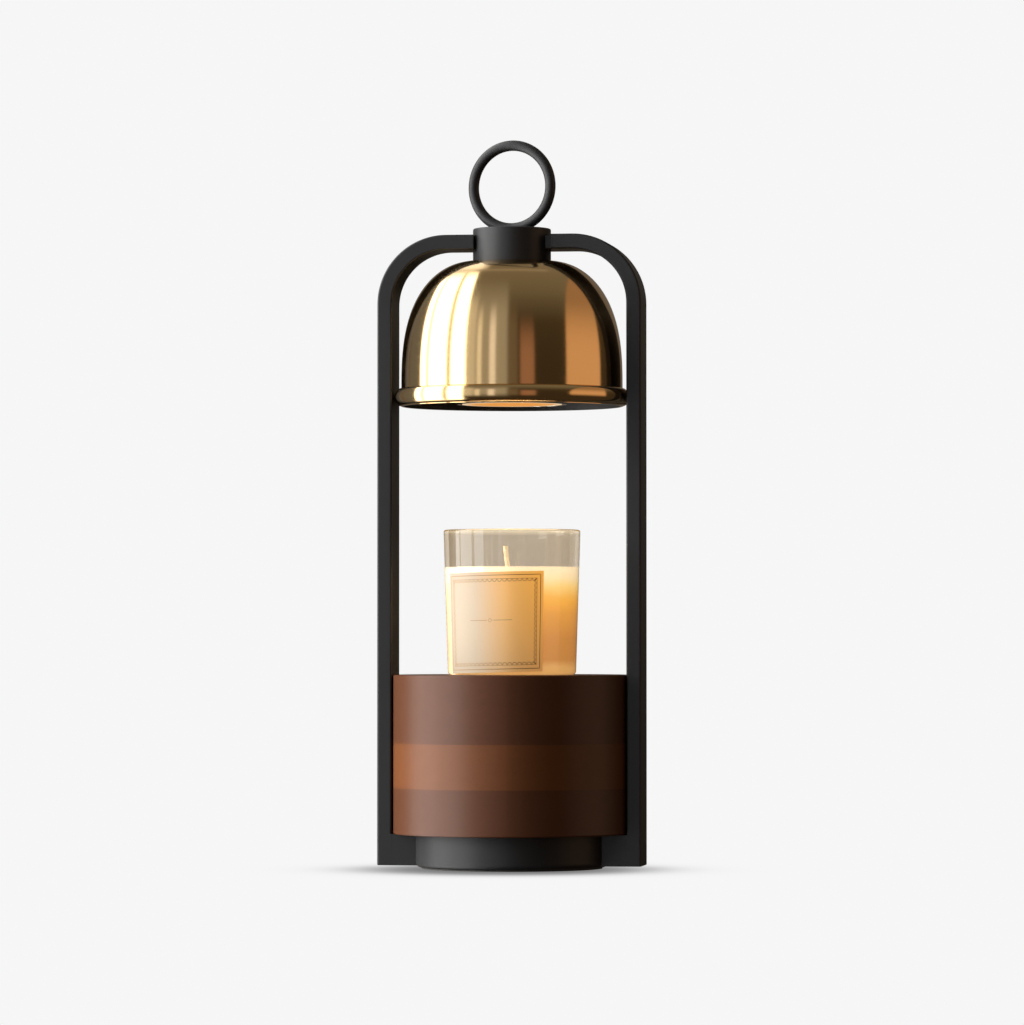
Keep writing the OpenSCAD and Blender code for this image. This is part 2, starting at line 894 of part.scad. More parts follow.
module clamp_screw_places() {
    for (side = [-1, 1])
        translate([side * clamp_screw_x, 0, 0])
            children();
}

// Seat and cap that grip the mains cable behind the inlet
module cord_clamp() {
    color("#d8d5cc")
        translate([0, clamp_y, 0])
            difference() {
                union() {
                    block([-clamp_half_x, clamp_half_x], [-clamp_half_y, clamp_half_y],
                          [cavity_z, inlet_z - clamp_pinch]);
                    block([-clamp_half_x, clamp_half_x], [-clamp_half_y, clamp_half_y],
                          [inlet_z + clamp_pinch, inlet_z + clamp_cap_h]);
                }
                translate([0, -clamp_half_y - over, inlet_z])
                    rotate([-90, 0, 0])
                        cylinder(h = 2 * (clamp_half_y + over), r = inlet_r);
                clamp_screw_places()
                    post(clamp_screw_r + ease, cavity_z - over, inlet_z + clamp_cap_h + over);
            }
}

module clamp_screws() {
    color(steel)
        translate([0, clamp_y, inlet_z + clamp_cap_h])
            clamp_screw_places()
                rotate([180, 0, 0])
                    screw(clamp_screw_r, clamp_cap_h + inlet_rise + drum_floor - floor_skin - screw_short,
                          clamp_head_r, clamp_head_h);
}

// Puts its children over each way of the terminal block, on both rows of screws
module terminal_places() {
    for (way = [0 : term_ways - 1])
        for (side = [-1, 1])
            translate([(way - (term_ways - 1) / 2) * term_pitch, side * term_screw_y, 0])
                children();
}

module terminal_block() {
    color("#e6e2d8")
        difference() {
            block([-term_l / 2, term_l / 2], [-term_w / 2, term_w / 2], [cavity_z, cavity_z + term_h]);
            terminal_places()
                post(term_screw_r + ease, cavity_z + term_bore_z, cavity_z + term_h + over);
            for (way = [0 : term_ways - 1])
                translate([(way - (term_ways - 1) / 2) * term_pitch, -term_w / 2 - over, cavity_z + term_bore_z])
                    rotate([-90, 0, 0])
                        cylinder(h = term_w + 2 * over, r = term_bore_r);
        }
}

module terminal_screws() {
    head_z = cavity_z + term_h - term_screw_sink;
    color(steel)
        terminal_places()
            difference() {
                post(term_screw_r, cavity_z + term_bore_z + 2 * term_screw_sink, head_z);
                block([-term_screw_r, term_screw_r], [-term_slot_w / 2, term_slot_w / 2],
                      [head_z - term_screw_sink, head_z + over]);
            }
}

// Screw and washer that earth the cross bar
module earth_screw() {
    color("#b08d57")
        translate([earth_x, 0, 0]) {
            post(earth_r, cross_top - cross_wall, cross_top + earth_washer_t);
            post(earth_washer_r, cross_top, cross_top + earth_washer_t);
            post(earth_head_r, cross_top + earth_washer_t / 2, cross_top + earth_washer_t + earth_head_h);
        }
}

// From the terminal block down into the cross bar, up the +X leg and over to the lamp holder
module lamp_lead() {
    start_z = cavity_z + term_bore_z;
    drop_x = lead_drop_x - lead_bend;
    turn_x = lead_drop_x + lead_bend;
    leg_turn_x = leg_mid - lead_bend;
    leg_turn_z = cross_mid_z + lead_bend;
    top_bend = bow_r - bar_t / 2;
    color("#e9e6df") {
        rod_x(lead_r, term_l / 2, drop_x, start_z);
        quarter_bend(lead_r, lead_bend, drop_x, start_z - lead_bend, 0);
        translate([lead_drop_x, 0, 0])
            post(lead_r, cross_mid_z + lead_bend, start_z - lead_bend);
        quarter_bend(lead_r, lead_bend, turn_x, cross_mid_z + lead_bend, 180);
        rod_x(lead_r, turn_x, leg_turn_x, cross_mid_z);
        quarter_bend(lead_r, lead_bend, leg_turn_x, leg_turn_z, 270);
        translate([leg_mid, 0, 0])
            post(lead_r, leg_turn_z, lead_top_z - top_bend);
        quarter_bend(lead_r, top_bend, leg_mid - top_bend, lead_top_z - top_bend, 0);
        rod_x(lead_r, lead_x + lead_bend, leg_mid - top_bend, lead_top_z);
        quarter_bend(lead_r, lead_bend, lead_x + lead_bend, lead_top_z - lead_bend, 90);
        translate([lead_x, 0, 0])
            post(lead_r, slot_top_z + lead_tail, lead_top_z - lead_bend);
    }
}

// ---- Base disc ----

// The sunk seat of a base screw's head, widest at the disc's lower face
module base_sink() {
    translate([0, 0, base_floor])
        mirror([0, 0, 1])
            translate([0, 0, -(base_head_r - base_screw_r)])
                cylinder(h = base_head_r - base_screw_r, r1 = base_screw_r, r2 = base_head_r);
}

// Pressed cup, slotted on both sides where the cross bar passes in
module base_disc() {
    slot_y = bar_d / 2 + ease;
    color(black)
        difference() {
            rotate_extrude()
                polygon([
                    [0, pad_t],
                    for (a = [-90 : 15 : 0])
                        [base_r - base_edge + base_edge * cos(a), pad_t + base_edge + base_edge * sin(a)],
                    [base_r, cross_top], [base_in_r, cross_top],
                    [base_in_r, pad_t + base_edge], [base_in_r - base_edge / 2, foot_lift],
                    [0, foot_lift]
                ]);
            block([-base_r - over, base_r + over], [-slot_y, slot_y], [foot_lift, cross_top + over]);
            both_sides()
                translate([base_screw_x, 0, 0]) {
                    post(base_screw_r + slip, pad_t - over, foot_lift + over);
                    translate([0, 0, pad_t - base_floor])
                        base_sink();
                }
        }
}

// Two half-round weights in the disc, in front of the cross bar and behind it
module ballast_weights() {
    r = base_in_r - base_edge / 2 - loose;
    color("#5a5a5a")
        for (turn = [0, 180])
            rotate([0, 0, turn])
                difference() {
                    post(r, foot_lift, cross_top - loose);
                    block([-r - over, r + over], [-r - over, bar_d / 2 + loose],
                          [foot_lift - over, cross_top + over]);
                }
}

module base_screws() {
    length = foot_lift - pad_t + cross_wall - ease;
    cone_h = base_head_r - base_screw_r - 2 * ease;
    color(steel)
        both_sides()
            translate([base_screw_x, 0, pad_t])
                difference() {
                    union() {
                        cylinder(h = length, r = base_screw_r);
                        cylinder(h = cone_h, r1 = base_screw_r + cone_h, r2 = base_screw_r);
                    }
                    translate([0, 0, -over])
                        cylinder(h = over + 0.8, r = base_screw_r * 0.8, $fn = 6);
                }
}

module foot_ring() {
    color("#1c1c1c")
        difference() {
            post(pad_r, 0, pad_t);
            post(pad_r - pad_w, -over, pad_t + over);
        }
}

// ---- Candle ----

// Outer radius of the glass at a height above its foot
function jar_r(h) = jar_foot_r + (jar_top_r - jar_foot_r) * h / jar_h;

module candle_glass() {
    foot_edge = 1.6;
    lip_r = jar_wall / 2;
    color([0.85, 0.85, 0.82, 0.5])
        rotate_extrude()
            translate([0, jar_z])
                polygon([
                    [0, 0],
                    for (a = [-90 : 15 : 0])
                        [jar_r(foot_edge) - foot_edge + foot_edge * cos(a), foot_edge + foot_edge * sin(a)],
                    for (a = [0 : 30 : 180])
                        [jar_r(jar_h) - lip_r + lip_r * cos(a), jar_h - lip_r + lip_r * sin(a)],
                    [jar_r(jar_floor) - jar_wall, jar_floor + jar_in_edge],
                    [jar_r(jar_floor) - jar_wall - jar_in_edge, jar_floor],
                    [0, jar_floor]
                ]);
}

module candle_wax() {
    color("#f3dfb4")
        difference() {
            rotate_extrude()
                polygon([
                    [0, jar_in_z], [jar_r(jar_floor) - jar_wall - jar_in_edge - ease, jar_in_z],
                    [jar_r(jar_floor) - jar_wall - ease, jar_in_z + jar_in_edge],
                    [jar_r(jar_floor + wax_h) - jar_wall - ease, wax_top], [0, wax_top]
                ]);
            post(wick_r + slip, jar_in_z - over, wax_top + over);
            post(tab_r + slip, jar_in_z - over, jar_in_z + tab_t + slip);
            post(tab_neck_r + slip, jar_in_z, jar_in_z + tab_neck_h + slip);
        }
}

module candle_wick() {
    color("#efe6cf")
        post(wick_r, jar_in_z + tab_t, wax_top + wick_out);
}

// Stamped disc with a short neck that holds the wick upright
module wick_tab() {
    color(steel)
        difference() {
            union() {
                post(tab_r, jar_in_z, jar_in_z + tab_t);
                post(tab_neck_r, jar_in_z, jar_in_z + tab_neck_h);
            }
            post(wick_r + slip, jar_in_z + tab_t, jar_in_z + tab_neck_h + over);
        }
}

// Blank paper label, wrapped round the slanted glass
module candle_label() {
    low_r = jar_r(label_low) + slip;
    high_r = jar_r(label_low + label_h) + slip;
    angle = label_w / ((low_r + high_r) / 2) * 180 / PI;
    color("#ecdcc0")
        rotate([0, 0, -90 + label_turn - angle / 2])
            rotate_extrude(angle = angle)
                translate([0, jar_z + label_low])
                    polygon([[low_r, 0], [low_r + label_t, 0], [high_r + label_t, label_h], [high_r, label_h]]);
}

frame_bow();
cross_bar();
leg_inserts();
frame_screws();
collar();
saddle_block();
handle_bush();
ring_handle();
handle_washer();
handle_nut();
shade();
shade_screws();
holder_bracket();
holder_screws();
lamp_holder();
holder_contacts();
bulb_reflector();
bulb_lens();
bulb_base();
bulb_pins();
bulb_capsule();
bulb_filament();
drum_upper();
drum_middle();
drum_lower();
drum_screws();
cable_inlet();
cord_clamp();
clamp_screws();
terminal_block();
terminal_screws();
earth_screw();
lamp_lead();
base_disc();
ballast_weights();
base_screws();
foot_ring();
candle_glass();
candle_wax();
candle_wick();
wick_tab();
candle_label();
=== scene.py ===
"""Looks of the candle warmer lamp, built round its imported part.

Metres, in the part's own frame: +Z up, the table at z = 0, the front towards -Y.
"""
import json
import math

import bmesh
import bpy
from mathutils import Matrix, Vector


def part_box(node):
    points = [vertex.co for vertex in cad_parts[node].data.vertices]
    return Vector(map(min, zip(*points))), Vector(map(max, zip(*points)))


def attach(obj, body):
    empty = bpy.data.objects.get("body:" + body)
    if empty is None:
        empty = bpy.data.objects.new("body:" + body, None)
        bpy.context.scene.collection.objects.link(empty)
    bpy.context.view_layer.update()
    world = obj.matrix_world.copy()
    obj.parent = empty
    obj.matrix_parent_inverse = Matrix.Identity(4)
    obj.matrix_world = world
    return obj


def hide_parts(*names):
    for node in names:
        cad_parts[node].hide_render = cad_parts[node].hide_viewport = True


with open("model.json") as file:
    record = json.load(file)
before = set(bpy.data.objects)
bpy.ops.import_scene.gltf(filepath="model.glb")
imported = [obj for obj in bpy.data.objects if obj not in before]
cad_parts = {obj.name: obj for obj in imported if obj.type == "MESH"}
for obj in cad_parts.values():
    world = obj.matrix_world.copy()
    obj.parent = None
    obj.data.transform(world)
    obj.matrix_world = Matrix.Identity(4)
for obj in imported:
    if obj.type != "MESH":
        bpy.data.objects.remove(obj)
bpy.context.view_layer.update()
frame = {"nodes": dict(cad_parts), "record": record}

MM = 0.001
SAME_POINT = 1e-7           # points nearer to each other than this are one
SHARP = 35                  # degrees: an edge where faces meet at more than this stays sharp
scene = bpy.context.scene

# ---- Camera and studio values ----

EYE_HEIGHT = 0.104          # the lens's height above the table
EYE_DISTANCE = 2.5          # from the lamp's axis
EYE_AZIMUTH = 8.3           # degrees from the front towards +X
EYE_PITCH = 1.33            # degrees upwards
SENSOR = 36.0               # the longer side of the camera's sensor, in millimetres
FOCAL_LENGTH = 192.5        # for that sensor
BACKDROP = 0.922            # how bright the plain backdrop renders

FLOOR_HALF = 6.0            # half the floor's width
# The floor's shade round the lamp's foot is a painted shadow: the floor's own colour darkens there.
SHADE_FROM = 0.064          # the floor's shade is half as deep at this distance from its middle
SHADE_FADE = 0.0095         # how softly it fades there
SHADE_MOST = 0.80           # how much light it takes away in its middle
SHADE_FORWARD = 0.0145      # how far its middle lies in front of the lamp's axis

BULB_ENERGY = 0.22          # the light under the bulb, in watts
BULB_SPREAD = 80.0          # degrees
BULB_SOFT = 0.018           # its radius
BULB_DROP = 0.001           # how far it hangs below the bulb's face

KEY_TURN = -84.0            # degrees from the camera's side, towards its left
KEY_RISE = 12.0             # degrees above the table
KEY_STRENGTH = 4.6
KEY_SPREAD = 16.0           # degrees

DUSK = 0.65                 # how much of the studio's soft light dull surfaces miss to the right
DUSK_TURNS = (-25, 10)      # from the first of these turns to the second it comes in
DUSK_COLOUR = (0.01, 0.009, 0.008)

# The studio is laid out by what a ball would show to the camera: "turn" is the angle round the
# ball from its nearest point, rightwards positive, and "rise" is the angle above its equator,
# both in degrees. Each card: turns, rises, softness of both edges, strength, colour.
NEUTRAL = (1.0, 0.99, 0.97)
SEAM = (1.0, 0.93, 0.80)
CARDS = {
    "left_edge": ((-68, -56), (-40, 45), (1.5, 6), 0.16, NEUTRAL),
    "front_fill": ((-24.5, -2), (-14, 30), (1.5, 16), 0.38, NEUTRAL),
    "front_dusk": ((-2, 3), (-14, 20), (1.0, 10), 0.16, (1.0, 0.8, 0.6)),
    "streak_a": ((-24.5, -19.5), (-14, 26), (1.0, 8), 0.68, NEUTRAL),
    "streak_b": ((-18.4, -16.0), (-14, 18), (0.4, 8), 0.98, NEUTRAL),
    "streak_c": ((-11.8, -8.6), (-14, 18), (0.4, 8), 1.0, (1.0, 1.0, 1.12)),
    "warm_strip": ((4.2, 11.6), (-14, 12), (0.7, 8), 0.34, (1.0, 0.56, 0.40)),
    "left_panel": ((-55.5, -24.8), (-40, 48), (0.7, 9), 4.4, NEUTRAL),
    "panel_seam_a": ((-50.4, -48.9), (-40, 50), (0.5, 4), 0.95, SEAM),
    "panel_seam_b": ((-36.2, -33.6), (-40, 50), (0.5, 4), 0.80, SEAM),
    "left_high": ((-75, -22), (54, 80), (6, 4), 1.5, NEUTRAL),
    "crease": ((-28, 28), (51.5, 54), (4, 1.0), 0.36, (1.0, 0.9, 0.78)),
}

# The orange card to the right. It starts at a share of the ball's radius instead of a turn.
ORANGE_FROM, ORANGE_FROM_SOFT = 0.487, 0.008
ORANGE_TO, ORANGE_TO_SOFT = 52.5, 0.8       # its last turn
ORANGE_RISES, ORANGE_RISE_SOFT = (-7, 60), 8
ORANGE_LOW, ORANGE_HIGH = 0.72, 0.36        # its strength at its foot and at its top
ORANGE_FADE = (5, 28)                       # the rises between which it goes from one to the other
ORANGE = (1.0, 0.62, 0.38)

# Where no card stands, the studio has a dim glow: (rise in right angles, colour)
GLOW = ((0.0, (0.045, 0.034, 0.022)), (0.16, (0.060, 0.046, 0.030)),
        (0.36, (0.17, 0.155, 0.125)), (0.75, (0.24, 0.21, 0.17)))

# The dim wall behind the lamp, and its darker part low down to the right. Each pair says between
# which shares of a direction, away from the camera, upwards or to the right, it comes or goes.
WALL_AWAY = (0.65, 0.71)
WALL_TOP = (0.40, 0.62)
WALL_COLOUR = (0.15, 0.125, 0.10)
DARK_RIGHT = (0.0, 0.2)
DARK_TOP = (-0.06, 0.085)
DARK_COLOUR = (0.012, 0.010, 0.008)

# ---- Sizes that the looks need and the frame's boxes don't give ----

BAR_T = 6.8 * MM            # the frame's flat tube
BAR_WALL = 1.2 * MM
BAR_EDGE = 0.9 * MM         # rounding of its long edges
BOW_R = 31.5 * MM           # outer radius of its top corners
TONGUE_D = 14.0 * MM        # its depth inside the collar
SHOULDER_SLANT = 0.15       # its shoulders at the collar are cut a little askew in plan

SHADE_WALL = 1.0 * MM
SHADE_FLAT_R = 18.3 * MM
SHADE_SHOULDER = 2.7        # how full the bell's shoulder is
BEAD_H = 8.0 * MM
BEAD_OUT = 3.1 * MM
BEAD_LOW = 0.2 * MM
LENS_R = 25 * MM            # the bulb's lit face

JAR_WALL = 2.0 * MM
JAR_FLOOR = 3.5 * MM
JAR_FOOT_R = 29.2 * MM
JAR_TOP_R = 31.2 * MM
WICK_R = 0.9 * MM
TAB_R = 8.0 * MM
LABEL_W = 49.2 * MM
LABEL_TURN = -11.0          # degrees from the front, towards -X
LABEL_SLANT = 0.022         # how far it is stuck on out of true, as a slope

# The jar's tint, by the height over the wax's rim in millimetres, and how amber its body is and how strongly
# it shows a painted glow
JAR_TINTS = ((-1.0, (0.97, 0.96, 0.94)), (0.4, (0.650, 0.610, 0.556)),
             (15.0, (0.660, 0.620, 0.560)), (16.0, (0.92, 0.86, 0.74)))
JAR_AMBER_AND_GLOW = 30


# ---- Mesh helpers ----

def rounded(corners, steps):
    """A closed outline through (x, y, radius) corners, each rounded by its radius in so many steps."""
    points = []
    for i, (x, y, radius) in enumerate(corners):
        if radius <= 0:
            points.append((x, y))
            continue
        here = Vector((x, y))
        before = (Vector(corners[i - 1][:2]) - here).normalized()
        after = (Vector(corners[(i + 1) % len(corners)][:2]) - here).normalized()
        half = before.angle(after) / 2
        reach = radius / math.tan(half)
        centre = here + (before + after).normalized() * (radius / math.sin(half))
        start = here + before * reach - centre
        sweep = start.angle_signed(here + after * reach - centre)
        for k in range(steps + 1):
            turn = -sweep * k / steps
            c, s = math.cos(turn), math.sin(turn)
            points.append((centre.x + start.x * c - start.y * s, centre.y + start.x * s + start.y * c))
    return points


def new_object(name, verts, faces, sharp=SHARP):
    """An object from points and faces, smooth except where faces meet at more than sharp degrees."""
    mesh = bpy.data.meshes.new(name)
    mesh.from_pydata([tuple(v) for v in verts], [], faces)
    piece = bpy.data.objects.new(name, mesh)
    scene.collection.objects.link(piece)
    bm = bmesh.new()
    bm.from_mesh(mesh)
    bmesh.ops.remove_doubles(bm, verts=bm.verts, dist=SAME_POINT)
    bmesh.ops.recalc_face_normals(bm, faces=bm.faces)
    for face in bm.faces:
        face.smooth = True
    for edge in bm.edges:
        edge.smooth = len(edge.link_faces) == 2 and edge.calc_face_angle(0) < math.radians(sharp)
    bm.to_mesh(mesh)
    bm.free()
    held = piece.modifiers.new("large_faces_first", "WEIGHTED_NORMAL")
    held.keep_sharp = True
    held.weight = 100
    return piece


def lathe(name, outline, segments, sharp=SHARP):
    """Turns a closed outline of (radius, z) points round the lamp's axis."""
    verts, rings = [], []
    for r, z in outline:
        if r == 0:
            rings.append([len(verts)] * segments)
            verts.append((0, 0, z))
            continue
        rings.append(list(range(len(verts), len(verts) + segments)))
        for k in range(segments):
            a = 2 * math.pi * k / segments
            verts.append((r * math.cos(a), r * math.sin(a), z))
    faces = []
    for j, ring in enumerate(rings):
        after = rings[(j + 1) % len(rings)]
        for k in range(segments):
            n = (k + 1) % segments
            loop = list(dict.fromkeys((ring[k], ring[n], after[n], after[k])))
            if len(loop) > 2:
                faces.append(loop)
    return new_object(name, verts, faces, sharp)


def dress(piece, body, slot, *materials):
    """The piece rides on its body and wears the materials. Its slot is not used."""
    for material in materials:
        piece.data.materials.append(material)
    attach(piece, body)


# ---- Shader helpers ----

def put(tree, kind, inputs=None, **settings):
    """Adds a node, with its settings, and its inputs by name or number: values, or sockets to link."""
    node = tree.nodes.new(kind)
    for key, value in settings.items():
        setattr(node, key, value)
    for key, value in (inputs or {}).items():
        if isinstance(value, bpy.types.NodeSocket):
            tree.links.new(value, node.inputs[key])
        else:
            node.inputs[key].default_value = value
    return node


def math_node(tree, operation, a, b=0.0, clamp=False):
    return put(tree, "ShaderNodeMath", {0: a, 1: b}, operation=operation, use_clamp=clamp).outputs[0]


def vector_node(tree, operation, *vectors):
    """Sums and the like of vectors; a length or a dot product comes out as a number."""
    node = put(tree, "ShaderNodeVectorMath", dict(enumerate(vectors)), operation=operation)
    return node.outputs["Value" if operation in ("LENGTH", "DOT_PRODUCT") else "Vector"]


def split(tree, vector):
    """The vector's x, y and z."""
    return put(tree, "ShaderNodeSeparateXYZ", {0: vector}).outputs


def smooth_step(tree, value, low, high):
    """0 below low, 1 above high, and a smooth rise between them."""
    return put(tree, "ShaderNodeMapRange",
               {"Value": value, "From Min": low, "From Max": high, "To Min": 0.0, "To Max": 1.0},
               interpolation_type="SMOOTHSTEP").outputs["Result"]


def remap(tree, value, low, high):
    """Maps 0..1 to low..high."""
    inputs = {"Value": value, "From Min": 0.0, "From Max": 1.0, "To Min": low, "To Max": high}
    return put(tree, "ShaderNodeMapRange", inputs).outputs["Result"]


def mix(tree, factor, a, b, blend="MIX"):
    """Mixes two colours."""
    return put(tree, "ShaderNodeMix", {0: factor, 6: a, 7: b}, data_type="RGBA", blend_type=blend).outputs[2]


def ramp(tree, factor, *stops):
    """A colour ramp of (position, colour) stops."""
    node = put(tree, "ShaderNodeValToRGB", {"Fac": factor})
    elements = node.color_ramp.elements
    while len(elements) < len(stops):
        elements.new(0.5)
    for element, (position, colour) in zip(elements, stops):
        element.position = position
        element.color = colour
    return node.outputs["Color"]


def coordinates(tree):
    """The part's own coordinates, in metres."""
    return put(tree, "ShaderNodeTexCoord").outputs["Object"]


def stretched(tree, x, y, z):
    """The part's own coordinates times a factor along each axis."""
    inputs = {"Vector": coordinates(tree), "Scale": (x, y, z)}
    return put(tree, "ShaderNodeMapping", inputs).outputs["Vector"]


def noise(tree, vector, detail, scale=1.0, roughness=0.5, distortion=0.0):
    """Noise from 0 to 1, with about scale grains to a unit of the vector."""
    return put(tree, "ShaderNodeTexNoise",
               {"Vector": vector, "Scale": scale, "Detail": detail, "Roughness": roughness,
                "Distortion": distortion}).outputs["Fac"]


def bump(tree, height, distance):
    """Normals for a relief of that height, which is distance deep where it is 1."""
    inputs = {"Height": height, "Distance": distance, "Strength": 1.0}
    return put(tree, "ShaderNodeBump", inputs).outputs["Normal"]


def rgb(r, g, b):
    return (r, g, b, 1.0)


def times(factor, colour):
    """The colour, so much brighter or darker."""
    return rgb(*(factor * c for c in colour[:3]))


def new_material(name):
    material = bpy.data.materials.new(name)
    material.use_nodes = True
    material.node_tree.nodes.clear()
    return material, material.node_tree


def surface(tree, shader):
    put(tree, "ShaderNodeOutputMaterial", {"Surface": shader})


def principled(tree, **inputs):
    """The main shader, with underscores for the spaces in its inputs' names."""
    named = {key.replace("_", " "): value for key, value in inputs.items()}
    return put(tree, "ShaderNodeBsdfPrincipled", named).outputs["BSDF"]


# ---- Materials ----

def powder_coat(name, shine):
    """Satin black powder coat with the fine orange peel that such paint has."""
    material, tree = new_material(name)
    here = coordinates(tree)
    peel = noise(tree, here, scale=2600, detail=2)
    cloud = noise(tree, here, scale=60, detail=3)
    colour = mix(tree, cloud, rgb(0.0155, 0.0165, 0.0180), rgb(0.0195, 0.0205, 0.0225))
    surface(tree, principled(
        tree, Base_Color=colour, Roughness=remap(tree, cloud, 0.40, 0.46),
        Specular_IOR_Level=shine, Normal=bump(tree, peel, 0.005 * MM)))
    return material


def spun_brass():
    """Spun and brushed brass under clear lacquer: fine lines run round the bell."""
    material, tree = new_material("shade_brass")
    lines = noise(tree, stretched(tree, 6, 6, 5200), detail=3, roughness=0.65)
    broad = noise(tree, stretched(tree, 3, 3, 420), detail=2)
    cloud = noise(tree, coordinates(tree), scale=35, detail=3)
    colour = mix(tree, cloud, rgb(0.84, 0.58, 0.28), rgb(0.80, 0.56, 0.27))
    colour = mix(tree, remap(tree, lines, 0.0, 0.10), colour, rgb(0.42, 0.28, 0.12))
    rough = math_node(tree, "ADD", remap(tree, lines, 0.09, 0.15), remap(tree, broad, -0.02, 0.03))
    tangent = put(tree, "ShaderNodeTangent", direction_type="RADIAL", axis="Z").outputs["Tangent"]
    height = math_node(tree, "ADD", lines, broad)
    surface(tree, principled(
        tree, Base_Color=colour, Metallic=1.0, Roughness=rough, Anisotropic=0.6,
        Anisotropic_Rotation=0.25, Tangent=tangent, Coat_Weight=0.2, Coat_Roughness=0.06,
        Normal=bump(tree, height, 0.004 * MM)))
    return material


def bell_inside_dark():
    """Flat black on the inside of the bell."""
    material, tree = new_material("shade_inside")
    grain = noise(tree, coordinates(tree), scale=1800, detail=2)
    surface(tree, principled(
        tree, Base_Color=mix(tree, grain, rgb(0.010, 0.009, 0.008), rgb(0.022, 0.020, 0.018)),
        Roughness=0.62, Normal=bump(tree, grain, 0.02 * MM)))
    return material


def oiled_wood(name, pale, dark, pore):
    """Oiled wood with the grain along X, so end grain shows towards the legs."""
    material, tree = new_material(name)
    warp = noise(tree, stretched(tree, 8, 30, 30), detail=3)
    bent = vector_node(tree, "ADD", stretched(tree, 14, 170, 170), warp)
    grain = noise(tree, bent, detail=5, roughness=0.6, distortion=0.4)
    fibre = noise(tree, stretched(tree, 60, 2100, 2100), detail=2)
    pores = noise(tree, stretched(tree, 170, 3600, 3600), detail=1)
    pores = smooth_step(tree, pores, 0.62, 0.74)
    colour = mix(tree, remap(tree, grain, 0.0, 0.8), pale, dark)
    colour = mix(tree, remap(tree, fibre, 0.0, 0.30), colour, dark)
    colour = mix(tree, math_node(tree, "MULTIPLY", pores, 0.30), colour, pore)
    height = math_node(tree, "SUBTRACT", remap(tree, fibre, 0.0, 0.35), pores)
    surface(tree, principled(
        tree, Base_Color=colour, Roughness=remap(tree, grain, 0.37, 0.43), Specular_IOR_Level=0.38,
        Normal=bump(tree, height, 0.010 * MM)))
    return material


def rubber():
    material, tree = new_material("rubber_black")
    grain = noise(tree, coordinates(tree), scale=2200, detail=2)
    surface(tree, principled(
        tree, Base_Color=mix(tree, grain, rgb(0.018, 0.018, 0.018), rgb(0.034, 0.034, 0.034)),
        Roughness=0.78, Normal=bump(tree, grain, 0.03 * MM)))
    return material


def plated(name, colour, rough):
    """Plated or turned metal with faint tool marks."""
    material, tree = new_material(name)
    marks = noise(tree, stretched(tree, 1, 1, 3), scale=900, detail=3)
    surface(tree, principled(
        tree, Base_Color=mix(tree, marks, times(0.72, colour), colour), Metallic=1.0,
        Roughness=remap(tree, marks, rough - 0.06, rough + 0.08), Normal=bump(tree, marks, 0.01 * MM)))
    return material


def cast(name, low, high, rough, scale, depth):
    """A dull moulded, fired or cast surface; scale and depth are those of its grain."""
    material, tree = new_material(name)
    grain = noise(tree, coordinates(tree), scale=scale, detail=3)
    surface(tree, principled(
        tree, Base_Color=mix(tree, grain, low, high), Roughness=rough,
        Normal=bump(tree, grain, depth)))
    return material


def lit_lens():
    """Pressed glass face of the lit bulb: orange, with a paler ring towards its edge."""
    material, tree = new_material("bulb_face")
    x, y, _ = split(tree, coordinates(tree))
    flat = put(tree, "ShaderNodeCombineXYZ", {0: x, 1: y}).outputs[0]
    glow = ramp(tree, math_node(tree, "DIVIDE", vector_node(tree, "LENGTH", flat), LENS_R),
                (0.0, rgb(0.80, 0.27, 0.02)), (0.50, rgb(0.80, 0.28, 0.02)), (0.74, rgb(0.72, 0.30, 0.05)),
                (0.88, rgb(0.80, 0.60, 0.38)), (1.0, rgb(0.42, 0.32, 0.20)))
    lenses = put(tree, "ShaderNodeTexVoronoi", {"Vector": flat, "Scale": 420.0},
                 feature="SMOOTH_F1").outputs["Distance"]
    surface(tree, principled(
        tree, Base_Color=rgb(0.30, 0.24, 0.16), Roughness=0.3, Specular_IOR_Level=0.25, Emission_Color=glow,
        Emission_Strength=0.90, Normal=bump(tree, lenses, 0.3 * MM)))
    return material


def glowing(name, colour, strength):
    material, tree = new_material(name)
    surface(tree, principled(tree, Base_Color=colour, Roughness=0.3, Emission_Color=colour,
                             Emission_Strength=strength))
    return material


def clear_glass(name, tints, amber=0.0):
    """Clear glass that lets lamp light through; tints are (height, colour) stops from the bottom up.

    Amber is how much its body colours light and how strongly it shows a painted glow, for each metre.
    """
    material, tree = new_material(name)
    _, _, z = split(tree, coordinates(tree))
    foot, head = tints[0][0], tints[-1][0] + 0.001 * MM     # never the same, even for one height
    tint = ramp(tree, math_node(tree, "DIVIDE", math_node(tree, "SUBTRACT", z, foot), head - foot),
                *(((height - foot) / (head - foot), colour) for height, colour in tints))
    glass = principled(tree, Base_Color=tint, Roughness=0.02, IOR=1.5, Transmission_Weight=1.0,
                       Specular_IOR_Level=0.3)
    open_way = put(tree, "ShaderNodeBsdfTransparent", {"Color": tint}).outputs[0]
    shadow = put(tree, "ShaderNodeLightPath").outputs["Is Shadow Ray"]
    outside = put(tree, "ShaderNodeMixShader", {0: shadow, 1: glass, 2: open_way}).outputs[0]
    inputs = {"Surface": outside}
    if amber:
        body = put(tree, "ShaderNodeVolumeAbsorption", {"Color": rgb(0.97, 0.78, 0.35), "Density": amber})
        # Painted glow: the glass's body gives off warm light of its own, standing in for the lamp's light in
        # it
        lit = put(tree, "ShaderNodeEmission", {"Color": rgb(1.0, 0.66, 0.30), "Strength": 1.1 * amber})
        both = {0: body.outputs[0], 1: lit.outputs[0]}
        inputs["Volume"] = put(tree, "ShaderNodeAddShader", both).outputs[0]
    put(tree, "ShaderNodeOutputMaterial", inputs)
    return material


